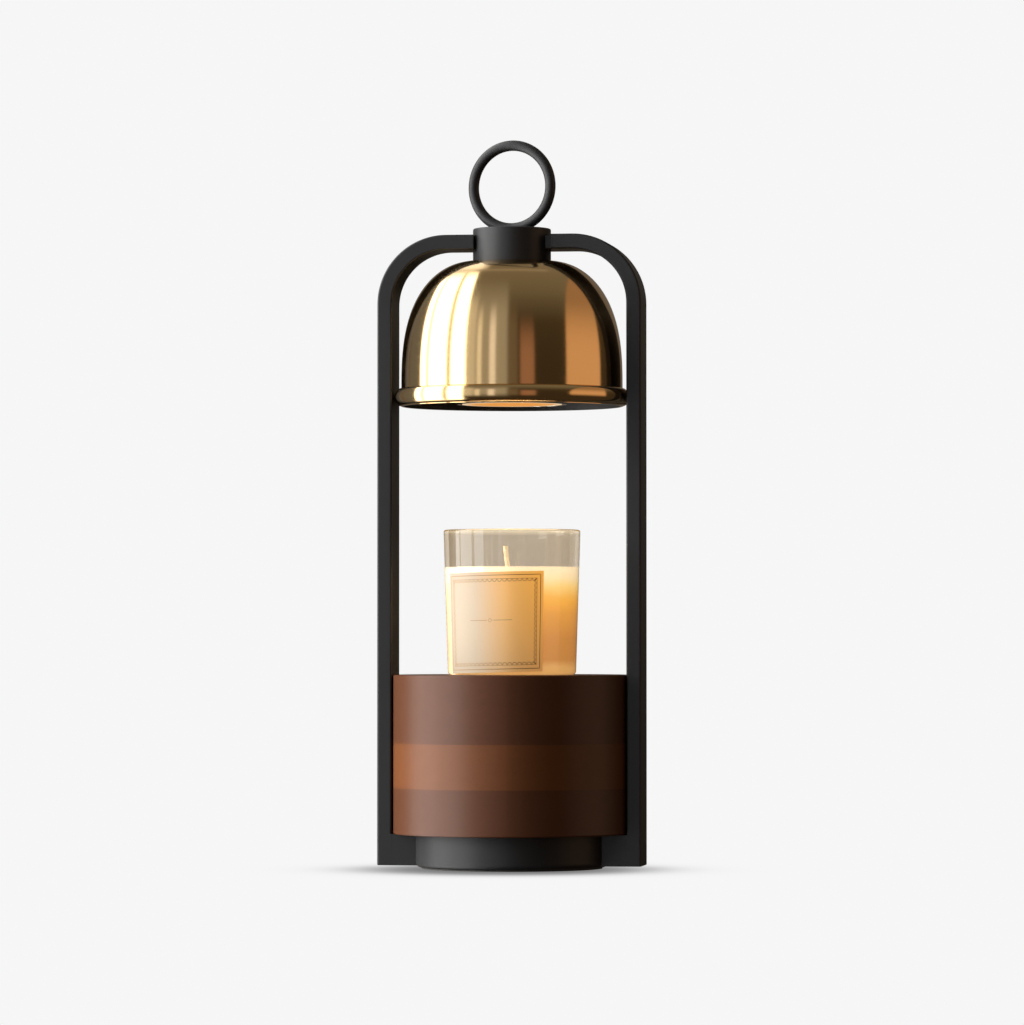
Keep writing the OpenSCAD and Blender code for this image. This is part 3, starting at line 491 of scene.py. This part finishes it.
def lit_wax(top_z, foot_z):
    """Warm wax with the lamp's light painted in: a painted glow and colour that turn from cream at the top to
    amber deeper down, and painted light that leaves its left side paler than its right.
    """
    material, tree = new_material("wax")
    here = coordinates(tree)
    x, _, z = split(tree, here)
    depth = math_node(tree, "DIVIDE", math_node(tree, "SUBTRACT", top_z, z), top_z - foot_z)
    mottle = noise(tree, here, scale=90, detail=4)
    depth = math_node(tree, "ADD", depth, remap(tree, mottle, -0.03, 0.03))
    # Painted light by depth: cream at the top, where the lamp's light falls, amber further down
    cream = ramp(tree, depth, (0.0, rgb(0.66, 0.60, 0.50)), (1.0, rgb(0.62, 0.52, 0.40)))
    amber = ramp(tree, depth, (0.0, rgb(0.66, 0.60, 0.50)), (0.12, rgb(0.62, 0.52, 0.36)),
                 (0.30, rgb(0.44, 0.28, 0.10)), (1.0, rgb(0.42, 0.26, 0.09)))
    # Painted light across the wax: paler on the left side, amber on the right
    body = mix(tree, smooth_step(tree, x, -24 * MM, 12 * MM), cream, amber)
    # Painted glow of the lamp's light, cream at the top and amber further down
    glow = ramp(tree, depth, (0.0, rgb(0.56, 0.50, 0.36)), (0.11, rgb(0.60, 0.50, 0.30)),
                (0.20, rgb(0.66, 0.44, 0.11)), (0.34, rgb(0.66, 0.29, 0.012)),
                (0.46, rgb(0.50, 0.19, 0.008)), (0.72, rgb(0.33, 0.100, 0.006)),
                (0.93, rgb(0.32, 0.105, 0.010)), (1.0, rgb(0.50, 0.26, 0.08)))
    surface(tree, principled(
        tree, Base_Color=body, Roughness=0.42, Subsurface_Weight=0.25, Subsurface_Radius=(1.0, 0.5, 0.2),
        Subsurface_Scale=3 * MM, Emission_Color=glow, Emission_Strength=0.9,
        Normal=bump(tree, mottle, 0.1 * MM)))
    return material


def label_paper():
    """Uncoated cream paper with faint fibres; warm light is painted on its right side, as an amber colour and
    a painted glow.
    """
    material, tree = new_material("label_paper")
    here = coordinates(tree)
    fibres = noise(tree, here, scale=900, detail=5, roughness=0.7)
    tooth = noise(tree, here, scale=4200, detail=2)
    side, rise, _ = split(tree, put(tree, "ShaderNodeUVMap").outputs["UV"])
    colour = mix(tree, fibres, rgb(0.300, 0.258, 0.205), rgb(0.335, 0.288, 0.230))
    # Painted light: the paper turns amber towards its right side
    amber = mix(tree, rise, rgb(0.50, 0.215, 0.060), rgb(0.72, 0.32, 0.05))
    colour = mix(tree, smooth_step(tree, side, 0.30, 0.98), colour, amber)
    # Painted glow, strongest on the right side and towards the top
    lower = mix(tree, rise, rgb(0.15, 0.060, 0.012), rgb(0.48, 0.20, 0.016))
    glow = ramp(tree, side, (0.0, rgb(0.10, 0.085, 0.06)), (0.35, rgb(0.16, 0.12, 0.06)),
                (0.95, rgb(1, 1, 1)))
    even = ramp(tree, side, (0.0, rgb(0.03, 0.027, 0.02)), (0.35, rgb(0.10, 0.085, 0.05)),
                (0.62, rgb(0.20, 0.15, 0.060)), (1.0, rgb(0.24, 0.13, 0.045)))
    glow = mix(tree, 1.0, mix(tree, 1.0, lower, glow, "MULTIPLY"), even, "ADD")
    surface(tree, principled(
        tree, Base_Color=colour, Roughness=0.85, Emission_Color=glow,
        Emission_Strength=1.0, Normal=bump(tree, tooth, 0.02 * MM)))
    return material


def ink():
    material, tree = new_material("label_ink")
    patch = noise(tree, coordinates(tree), scale=2500, detail=2)
    surface(tree, principled(
        tree, Base_Color=mix(tree, patch, rgb(0.22, 0.12, 0.05), rgb(0.36, 0.22, 0.10)), Roughness=0.8))
    return material


def cotton():
    material, tree = new_material("wick_cotton")
    strands = noise(tree, stretched(tree, 1, 1, 0.4), scale=4000, detail=3)
    # The emission is a painted glow: the bulb's light on the wick
    surface(tree, principled(
        tree, Base_Color=mix(tree, strands, rgb(0.80, 0.68, 0.48), rgb(0.95, 0.88, 0.72)), Roughness=0.75,
        Emission_Color=rgb(0.85, 0.74, 0.54), Emission_Strength=0.5, Normal=bump(tree, strands, 0.08 * MM)))
    return material


# ---- Stage: camera, floor, world, lamp light ----

def make_camera():
    camera = bpy.data.objects.new("camera", bpy.data.cameras.new("camera"))
    scene.collection.objects.link(camera)
    camera.data.lens = FOCAL_LENGTH
    camera.data.sensor_width = SENSOR
    side = math.radians(EYE_AZIMUTH)
    camera.location = (EYE_DISTANCE * math.sin(side), -EYE_DISTANCE * math.cos(side), EYE_HEIGHT)
    camera.rotation_euler = (math.radians(90 + EYE_PITCH), 0, side)
    camera.data.clip_start = 0.05
    scene.camera = camera


def make_floor():
    """A pale floor with a painted shadow, the lamp's soft shade, round its foot; elsewhere it renders like
    the backdrop.
    """
    corners = [(x * FLOOR_HALF, y * FLOOR_HALF, 0) for x, y in ((-1, -1), (1, -1), (1, 1), (-1, 1))]
    floor = new_object("floor", corners, [(0, 1, 2, 3)])
    material, tree = new_material("floor")
    from_middle = vector_node(tree, "ADD", coordinates(tree), (0, SHADE_FORWARD, 0))
    radius = vector_node(tree, "LENGTH", from_middle)
    fade = math_node(tree, "DIVIDE", math_node(tree, "SUBTRACT", radius, SHADE_FROM), SHADE_FADE)
    fade = math_node(tree, "ADD", math_node(tree, "EXPONENT", fade), 1.0)
    left = math_node(tree, "SUBTRACT", 1.0, math_node(tree, "DIVIDE", SHADE_MOST, fade))
    # Painted shadow: the floor's colour darkens towards the shade's middle.
    pale = mix(tree, left, rgb(0, 0, 0), rgb(BACKDROP, BACKDROP, BACKDROP))
    top = put(tree, "ShaderNodeEmission", {"Color": pale}).outputs[0]
    under = put(tree, "ShaderNodeBsdfTransparent").outputs[0]
    from_below = put(tree, "ShaderNodeNewGeometry").outputs["Backfacing"]
    surface(tree, put(tree, "ShaderNodeMixShader", {0: from_below, 1: top, 2: under}).outputs[0])
    floor.data.materials.append(material)
    floor.visible_glossy = False
    floor.visible_diffuse = False


def make_world():
    """A dark studio with pale cards round it; the camera and the glass see the plain backdrop.

    Behind the lamp lies a dim wall, darker low down to the right.
    """
    world = bpy.data.worlds.new("studio")
    scene.world = world
    world.use_nodes = True
    tree = world.node_tree
    tree.nodes.clear()
    side = math.radians(EYE_AZIMUTH)
    to_eye = (math.sin(side), -math.cos(side), 0)
    rightwards = (math.cos(side), math.sin(side), 0)

    def dot(a, b):
        return vector_node(tree, "DOT_PRODUCT", a, b)

    def window(value, low, high, soft):
        rise = smooth_step(tree, value, low - soft, low + soft)
        fall = smooth_step(tree, value, high - soft, high + soft)
        return math_node(tree, "SUBTRACT", rise, fall)

    def both(a, b):
        return math_node(tree, "MULTIPLY", a, b)

    def without(a):
        return math_node(tree, "SUBTRACT", 1.0, a)

    direction = put(tree, "ShaderNodeTexCoord").outputs["Generated"]
    ball = vector_node(tree, "NORMALIZE", vector_node(tree, "ADD", direction, to_eye))
    across, near, up = dot(ball, rightwards), dot(ball, to_eye), dot(ball, (0, 0, 1))
    turn = math_node(tree, "DEGREES", math_node(tree, "ARCTAN2", across, near))
    rise = math_node(tree, "DEGREES", math_node(tree, "ARCSINE", up))

    total = ramp(tree, math_node(tree, "DIVIDE", rise, 90.0, clamp=True),
                 *((height, rgb(*colour)) for height, colour in GLOW))
    for turns, rises, (turn_soft, rise_soft), strength, tint in CARDS.values():
        inside = both(window(turn, *turns, turn_soft), window(rise, *rises, rise_soft))
        total = mix(tree, inside, total, times(strength, tint))

    begun = smooth_step(tree, across, ORANGE_FROM - ORANGE_FROM_SOFT, ORANGE_FROM + ORANGE_FROM_SOFT)
    past = smooth_step(tree, turn, ORANGE_TO - ORANGE_TO_SOFT, ORANGE_TO + ORANGE_TO_SOFT)
    inside = both(both(begun, without(past)), window(rise, *ORANGE_RISES, ORANGE_RISE_SOFT))
    fade = smooth_step(tree, rise, *ORANGE_FADE)
    card = mix(tree, fade, times(ORANGE_LOW, ORANGE), times(ORANGE_HIGH, ORANGE))
    total = mix(tree, inside, total, card)

    away = math_node(tree, "MULTIPLY", dot(direction, to_eye), -1.0)
    height = dot(direction, (0, 0, 1))
    behind = both(smooth_step(tree, away, *WALL_AWAY), without(smooth_step(tree, height, *WALL_TOP)))
    low_right = both(smooth_step(tree, dot(direction, rightwards), *DARK_RIGHT),
                     without(smooth_step(tree, height, *DARK_TOP)))
    total = mix(tree, behind, total, mix(tree, low_right, rgb(*WALL_COLOUR), rgb(*DARK_COLOUR)))

    path = put(tree, "ShaderNodeLightPath")
    dim = both(path.outputs["Is Diffuse Ray"], smooth_step(tree, turn, *DUSK_TURNS))
    total = mix(tree, both(dim, DUSK), total, rgb(*DUSK_COLOUR))
    seen = math_node(tree, "ADD", path.outputs["Is Camera Ray"], path.outputs["Is Transmission Ray"],
                     clamp=True)
    shown = mix(tree, seen, total, rgb(BACKDROP, BACKDROP, BACKDROP))
    background = put(tree, "ShaderNodeBackground", {"Color": shown, "Strength": 1.0})
    put(tree, "ShaderNodeOutputWorld", {"Surface": background.outputs[0]})


def make_lamp_light():
    """The bulb's warm light on the candle."""
    low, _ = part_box("bulb_lens")
    light = bpy.data.objects.new("bulb_light", bpy.data.lights.new("bulb_light", "SPOT"))
    scene.collection.objects.link(light)
    light.location = (0, 0, low.z - BULB_DROP)
    light.data.energy = BULB_ENERGY
    light.data.color = (1.0, 0.74, 0.42)
    light.data.spot_size = math.radians(BULB_SPREAD)
    light.data.spot_blend = 0.9
    light.data.shadow_soft_size = BULB_SOFT


def make_key_light():
    """A far soft light from the left; it shows on dull surfaces, not in shiny ones."""
    light = bpy.data.objects.new("key_light", bpy.data.lights.new("key_light", "SUN"))
    scene.collection.objects.link(light)
    turn = math.radians(EYE_AZIMUTH + KEY_TURN)
    light.rotation_euler = (math.radians(90 - KEY_RISE), 0, turn)
    light.data.energy = KEY_STRENGTH
    light.data.angle = math.radians(KEY_SPREAD)
    light.data.color = (1.0, 0.93, 0.86)
    light.visible_glossy = False


# ---- Pieces ----

def make_frame_tube(black):
    """The bent flat tube: a hollow section with rounded edges, swept along the arch."""
    low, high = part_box("frame_bow")
    _, cross_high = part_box("cross_bar")
    _, collar_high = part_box("collar")
    ease = 0.1 * MM             # gap at the collar, and the length over which the edges widen
    shoulder = collar_high.x + ease
    leg_mid = high.x - BAR_T / 2
    top_z = high.z - BAR_T / 2
    bend = BOW_R - BAR_T / 2
    turn_x, turn_z = leg_mid - bend, top_z - bend
    chamfer = 0.3 * MM
    flush = 0.02 * MM           # edge radius where the tube meets the cross bar's faces
    hollow_edge = 0.3 * MM      # edge radius inside the tube
    steps = 28
    right = math.pi / 2

    # Each station: its middle, the way it faces, how much it is drawn in, its half depth, and
    # the radius of the edges on the arch's inner side
    full, slim = high.y, TONGUE_D / 2
    foot = [((-leg_mid, low.z), chamfer, flush), ((-leg_mid, low.z + chamfer), 0.0, flush),
            ((-leg_mid, cross_high.z), 0.0, flush), ((-leg_mid, cross_high.z + ease), 0.0, BAR_EDGE)]
    half = [(spot, 0.0, cut, full, edge) for spot, cut, edge in foot]
    for k in range(steps + 1):
        a = right * k / steps
        half.append(((-turn_x - bend * math.cos(a), turn_z + bend * math.sin(a)), a, 0.0, full, BAR_EDGE))
    half += [((-shoulder, top_z), right, 0.0, depth, BAR_EDGE) for depth in (full, slim)]
    mirrored = [((-x, z), math.pi - turn, cut, depth, edge)
                for (x, z), turn, cut, depth, edge in reversed(half)]
    stations = half + mirrored

    def section(inset, depth, outer_r, inner_r):
        t, d = BAR_T / 2 - inset, depth - inset
        return rounded([(-t, -d, outer_r), (t, -d, inner_r), (t, d, inner_r), (-t, d, outer_r)], steps=5)

    verts, faces = [], []

    def skin(wall, radius):
        """One long skin of the tube; returns the vertex numbers of its two end loops."""
        loops = []
        for (x, z), turn, cut, depth, edge in stations:
            inset = wall if wall else cut
            inner_r = radius if wall else edge
            loop = []
            for across, y in section(inset, depth, radius, inner_r):
                loop.append(len(verts))
                lean = SHOULDER_SLANT * y if abs(abs(x) - shoulder) < SAME_POINT else 0.0
                verts.append((x - lean + across * math.cos(turn), y, z - across * math.sin(turn)))
            loops.append(loop)
        n = len(loops[0])
        for a, b in zip(loops, loops[1:]):
            for k in range(n):
                faces.append((a[k], a[(k + 1) % n], b[(k + 1) % n], b[k]))
        return loops[0], loops[-1]

    outer = skin(0, BAR_EDGE)
    inner = skin(BAR_WALL, hollow_edge)
    for a, b in zip(outer, inner):
        n = len(a)
        for k in range(n):
            faces.append((a[k], a[(k + 1) % n], b[(k + 1) % n], b[k]))
    piece = new_object("frame_tube", verts, faces)
    dress(piece, "lamp", "frame_black", black)
    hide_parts("frame_bow")


def make_shade(brass, inside_black):
    """The spun bell with its rolled bead, brass outside and black inside."""
    low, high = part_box("shade")
    bell_r = high.x - BEAD_OUT
    bead_mid = low.z + BEAD_LOW + BEAD_H / 2
    bell_z = low.z + BEAD_LOW + BEAD_H
    bell_h = high.z - bell_z

    def bell(a, inset):
        r = SHADE_FLAT_R + (bell_r - inset - SHADE_FLAT_R) * math.cos(a)
        return r, bell_z + (bell_h - inset) * math.sin(a) ** (2 / SHADE_SHOULDER)

    steps, bead_steps = 64, 20
    quarter = [math.pi / 2 * k / steps for k in range(steps + 1)]
    bead = [(bell_r + BEAD_OUT * math.cos(a), bead_mid + BEAD_H / 2 * math.sin(a))
            for a in (math.pi * (k / bead_steps - 0.5) for k in range(bead_steps))]
    outside = [(bell_r, low.z)] + bead + [bell(a, 0) for a in quarter] + [(0, high.z)]
    inside = [(0, high.z - SHADE_WALL)] + [bell(a, SHADE_WALL) for a in reversed(quarter)]
    inside.append((bell_r - SHADE_WALL, low.z))
    piece = lathe("shade_bell", outside + inside, segments=256)
    dress(piece, "lamp", "shade_brass", brass, inside_black)
    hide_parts("shade")
    # Black are the faces that look clearly towards the axis, and the top's flat underside
    for face in piece.data.polygons:
        centre, normal = face.center, face.normal
        inward = normal.x * centre.x + normal.y * centre.y < -0.1 * math.hypot(centre.x, centre.y)
        under = normal.z < -0.5 and math.hypot(centre.x, centre.y) < bell_r - SHADE_WALL
        if inward or under:
            face.material_index = 1


def jar_radius(h, height):
    return JAR_FOOT_R + (JAR_TOP_R - JAR_FOOT_R) * h / height


def make_jar(glass):
    """The candle's glass: a slanted wall, a thick bottom and a fire-polished lip."""
    low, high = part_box("candle_glass")
    height = high.z - low.z
    heel, lip, floor_edge = 1.6 * MM, 0.98 * MM, 1.5 * MM   # radii of its rounded edges

    def outer(h):
        return jar_radius(h, height)

    outline = rounded([
        (0, low.z, 0), (outer(0), low.z, heel),
        (outer(height), high.z, lip), (outer(height) - JAR_WALL, high.z, lip),
        (outer(JAR_FLOOR) - JAR_WALL, low.z + JAR_FLOOR, floor_edge), (0, low.z + JAR_FLOOR, 0),
    ], steps=8)
    piece = lathe("jar_glass", outline, segments=192)
    dress(piece, "candle", "jar_glass", glass)
    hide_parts("candle_glass")


def make_wax(wax):
    """The wax: a meniscus climbs the glass, and a shallow dip lies round the wick."""
    jar_low, jar_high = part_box("candle_glass")
    low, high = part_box("candle_wax")
    height = jar_high.z - jar_low.z
    wet = 0.05 * MM             # the wax wets the glass, so no film of air shows between them
    foot_r = jar_radius(0, height) - JAR_WALL + wet
    top_r = jar_radius(high.z - jar_low.z, height) - JAR_WALL + wet
    # The meniscus: its height, the width of one step, and in how many steps most of it is gone
    climb, climb_step, climb_fade = 0.55 * MM, 0.35 * MM, 2.2
    level = high.z - 0.7 * MM   # of the middle, where the dip starts
    dip = 0.5 * MM
    top = [(top_r, high.z)]
    for k in range(1, 9):
        top.append((top_r - climb_step * k, high.z - climb * (1 - math.exp(-k / climb_fade))))
    top += [(11.8 * MM, level + 0.08 * MM), (6.0 * MM, level), (3.6 * MM, level - dip / 2), (0, level - dip)]
    # Under it the wick's tab and its neck stand free of the wax
    neck_r, neck_h, tab_t = WICK_R + 0.85 * MM, 3.05 * MM, 0.55 * MM
    room_r = TAB_R + 0.05 * MM
    # The wax's foot reaches into the glass's thick bottom, so the bottom shows the wax's painted glow as lamp
    # light
    foot_z = jar_low.z + 0.3 * MM   # lit from above, the glass's bottom takes on the wax's colour
    foot_edge = 0.5 * MM
    under = [(0, low.z + neck_h), (neck_r, low.z + neck_h), (neck_r, low.z + tab_t),
             (room_r, low.z + tab_t), (room_r, foot_z)]
    outline = under + [(foot_r - foot_edge, foot_z), (foot_r, foot_z + foot_edge)] + top
    piece = lathe("wax_body", outline, segments=160, sharp=50)
    dress(piece, "candle", "wax", wax)
    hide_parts("candle_wax")


def make_wick(fibre):
    """A braided wick that leans and swells a little towards its tip."""
    low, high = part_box("candle_wick")
    _, wax_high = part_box("candle_wax")
    stand = wax_high.z - 20 * MM    # from here up it leans
    rings, segments = 120, 24
    lobes, twist = 3, 5200.0        # of the braid
    mean, groove = 0.93, 0.07       # its mean radius and the depth of its grooves, in wick radii
    swell, swell_rate = 0.36, 1.5   # how much thicker it gets where it leans, and how soon
    lean_x, lean_y = -2.9 * MM, -0.6 * MM
    verts, faces = [], []
    for j in range(rings + 1):
        z = low.z + (high.z - low.z) * j / rings
        lean = max(0.0, (z - stand) / (high.z - stand))
        thick = WICK_R * (1 + swell * min(1.0, lean * swell_rate))
        for k in range(segments):
            a = 2 * math.pi * k / segments
            r = thick * (mean + groove * math.cos(lobes * a + twist * (z - low.z) / lobes))
            verts.append((r * math.cos(a) + lean_x * lean, r * math.sin(a) + lean_y * lean, z))
    for j in range(rings):
        for k in range(segments):
            n = (k + 1) % segments
            faces.append((j * segments + k, j * segments + n, (j + 1) * segments + n, (j + 1) * segments + k))
    faces.append(tuple(range(segments)))
    faces.append(tuple(range(rings * segments, (rings + 1) * segments)))
    piece = new_object("wick_braid", verts, faces, sharp=50)
    dress(piece, "candle", "wick_cotton", fibre)
    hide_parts("candle_wick")


class Label:
    """The label's place on the slanted glass: across and up in metres, from its lower left corner."""

    def __init__(self):
        low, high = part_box("candle_label")
        jar_low, jar_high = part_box("candle_glass")
        self.foot_z = low.z
        self.height = high.z - low.z
        self.turn = math.radians(LABEL_TURN - 90)
        self.jar_z = jar_low.z
        self.jar_h = jar_high.z - jar_low.z
        self.mean_r = jar_radius((low.z + high.z) / 2 - self.jar_z, self.jar_h)

    def point(self, across, up, lift):
        """The point in the part's frame, lifted off the glass by so much."""
        z = self.foot_z + up + LABEL_SLANT * (across - LABEL_W / 2)
        r = jar_radius(z - self.jar_z, self.jar_h) + lift
        turn = self.turn + (across - LABEL_W / 2) / self.mean_r
        return r * math.cos(turn), r * math.sin(turn), z


def make_label(paper, print_ink):
    """The label, its printed border, and a small diamond with a rule on both sides in its middle."""
    label = Label()
    back, front, print_lift = 0.05 * MM, 0.2 * MM, 0.02 * MM
    columns, rows = 72, 40
    verts, faces = [], []
    for lift in (front, back):
        for j in range(rows + 1):
            for k in range(columns + 1):
                verts.append(label.point(LABEL_W * k / columns, label.height * j / rows, lift))
    across = columns + 1
    sheet = across * (rows + 1)
    for j in range(rows):
        for k in range(columns):
            a = j * across + k
            faces.append((a, a + 1, a + 1 + across, a + across))
            faces.append((a + sheet + across, a + sheet + across + 1, a + sheet + 1, a + sheet))
    rim = ([k for k in range(columns)] + [j * across + columns for j in range(rows)]
           + [rows * across + k for k in range(columns, 0, -1)] + [j * across for j in range(rows, 0, -1)])
    for a, b in zip(rim, rim[1:] + rim[:1]):
        faces.append((a, b, b + sheet, a + sheet))
    piece = new_object("label_sheet", verts, faces)
    uv = piece.data.uv_layers.new(name="UVMap")
    for loop in piece.data.loops:
        x, y, z = piece.data.vertices[loop.vertex_index].co
        turn = math.atan2(y, x) - label.turn
        uv.data[loop.index].uv = (turn * label.mean_r / LABEL_W + 0.5, (z - label.foot_z) / label.height)
    dress(piece, "candle", "label_paper", paper)
    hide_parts("candle_label")

    print_verts, print_faces = [], []

    def stroke(path, width, closed):
        """A flat printed line along a path of (across, up) points."""
        n = len(path)
        first = len(print_verts)
        for i, (x, y) in enumerate(path):
            before = path[i - 1] if closed or i else path[i]
            after = path[(i + 1) % n] if closed or i < n - 1 else path[i]
            way = Vector((after[0] - before[0], after[1] - before[1])).normalized()
            side = Vector((-way.y, way.x)) * width / 2
            for s in (1, -1):
                print_verts.append(label.point(x + s * side.x, y + s * side.y, front + print_lift))
        for i in range(n if closed else n - 1):
            a, b = first + 2 * i, first + 2 * ((i + 1) % n)
            print_faces.append((a, a + 1, b + 1, b))

    def border(inset, pitch, wave):
        """Points round the label at an inset, a pitch apart, or with scallops of that pitch and depth."""
        w, h = LABEL_W - 2 * inset, label.height - 2 * inset
        scallop_steps = 8
        path = []
        corners = [((inset, inset), (1, 0), w), ((inset + w, inset), (0, 1), h),
                   ((inset + w, inset + h), (-1, 0), w), ((inset, inset + h), (0, -1), h)]
        for (x, y), (dx, dy), length in corners:
            count = max(1, round(length / pitch))
            fine = scallop_steps * count if wave else count
            for k in range(fine):
                s = length * k / fine
                depth = wave * abs(math.sin(math.pi * count * k / fine))
                path.append((x + dx * s - dy * depth, y + dy * s + dx * depth))
        return path

    stroke(border(inset=1.5 * MM, pitch=0.9 * MM, wave=0), width=0.30 * MM, closed=True)
    stroke(border(inset=3.2 * MM, pitch=0.9 * MM, wave=0), width=0.18 * MM, closed=True)
    stroke(border(inset=3.3 * MM, pitch=2.2 * MM, wave=1.15 * MM), width=0.26 * MM, closed=True)
    middle_x, middle_y = LABEL_W / 2, label.height * 0.52
    rule_from, rule_step, rule_points = 1.6, 0.5, 18    # in millimetres from the middle
    for side in (-1, 1):
        rule = [(middle_x + side * (rule_from + rule_step * k) * MM, middle_y) for k in range(rule_points)]
        stroke(rule, width=0.2 * MM, closed=False)
    diamond_r = 0.9 * MM
    diamond = [(middle_x + diamond_r * math.cos(a), middle_y + diamond_r * math.sin(a))
               for a in (math.pi / 2 * k for k in range(4))]
    stroke(diamond, width=0.22 * MM, closed=True)
    marks = new_object("label_print", print_verts, print_faces)
    dress(marks, "candle", "label_paper", print_ink)


# ---- Build ----

def paint_nodes():
    """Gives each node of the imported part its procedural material; four of the candle's come later."""
    black = powder_coat("frame_black", shine=0.40)
    disc_black = powder_coat("disc_black", shine=0.27)
    brass = spun_brass()
    zinc = plated("zinc_steel", rgb(0.62, 0.62, 0.63), rough=0.32)
    fitting = plated("brass_fitting", rgb(0.78, 0.58, 0.28), rough=0.28)
    ceramic = cast("ceramic_white", rgb(0.74, 0.71, 0.65), rgb(0.84, 0.82, 0.77),
                   rough=0.55, scale=1200, depth=0.02 * MM)
    dark_wood = oiled_wood("walnut_dark", rgb(0.079, 0.0243, 0.0070), rgb(0.060, 0.0175, 0.0044),
                           rgb(0.03, 0.009, 0.003))
    light_wood = oiled_wood("walnut_light", rgb(0.126, 0.040, 0.0086), rgb(0.096, 0.0285, 0.0054),
                            rgb(0.05, 0.015, 0.004))
    by_slot = {
        "frame_black": black, "zinc_steel": zinc, "brass_fitting": fitting, "shade_brass": brass,
        "ceramic_white": ceramic, "bulb_face": lit_lens(),
        "bulb_mirror": plated("bulb_mirror", rgb(0.85, 0.84, 0.80), rough=0.14),
        "bulb_glass": clear_glass("bulb_glass", [(0.0, rgb(0.98, 0.96, 0.92)), (0.3, rgb(0.98, 0.96, 0.92))]),
        "filament": glowing("filament", rgb(1.0, 0.72, 0.36), strength=6.0),
        "walnut_dark": dark_wood, "walnut_light": light_wood, "rubber_black": rubber(),
        "plastic_black": cast("plastic_black", rgb(0.022, 0.022, 0.023), rgb(0.036, 0.036, 0.037),
                              rough=0.5, scale=1500, depth=0.03 * MM),
        "plastic_white": cast("plastic_white", rgb(0.70, 0.67, 0.60), rgb(0.78, 0.75, 0.69),
                              rough=0.5, scale=1500, depth=0.02 * MM),
        "lead_sheath": cast("lead_sheath", rgb(0.66, 0.63, 0.57), rgb(0.76, 0.74, 0.68),
                            rough=0.6, scale=900, depth=0.03 * MM),
        "ballast_iron": cast("ballast_iron", rgb(0.07, 0.07, 0.07), rgb(0.15, 0.14, 0.13),
                             rough=0.75, scale=700, depth=0.15 * MM),
        # These nodes are replaced by pieces that bring their own
        "wax": None, "jar_glass": None, "wick_cotton": None, "label_paper": None,
    }
    for part in frame["record"]["subparts"]:
        node = frame["nodes"][part["node"]]
        material = by_slot[part["material_slot"]]
        if material is None:
            continue
        if part["node"] == "base_disc":
            material = disc_black
        node.data.materials.clear()
        node.data.materials.append(material)
        for face in node.data.polygons:
            face.material_index = 0
    return black, brass


make_camera()
make_floor()
make_world()
make_lamp_light()
make_key_light()
frame_paint, bell_metal = paint_nodes()
wax_low, wax_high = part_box("candle_wax")
jar_tints = [(wax_high.z + up * MM, rgb(*colour)) for up, colour in JAR_TINTS]
make_frame_tube(frame_paint)
make_shade(bell_metal, bell_inside_dark())
make_jar(clear_glass("jar_glass", jar_tints, JAR_AMBER_AND_GLOW))
make_wax(lit_wax(wax_high.z, wax_low.z))
make_wick(cotton())
make_label(label_paper(), ink())

scene.view_settings.view_transform = "Standard"
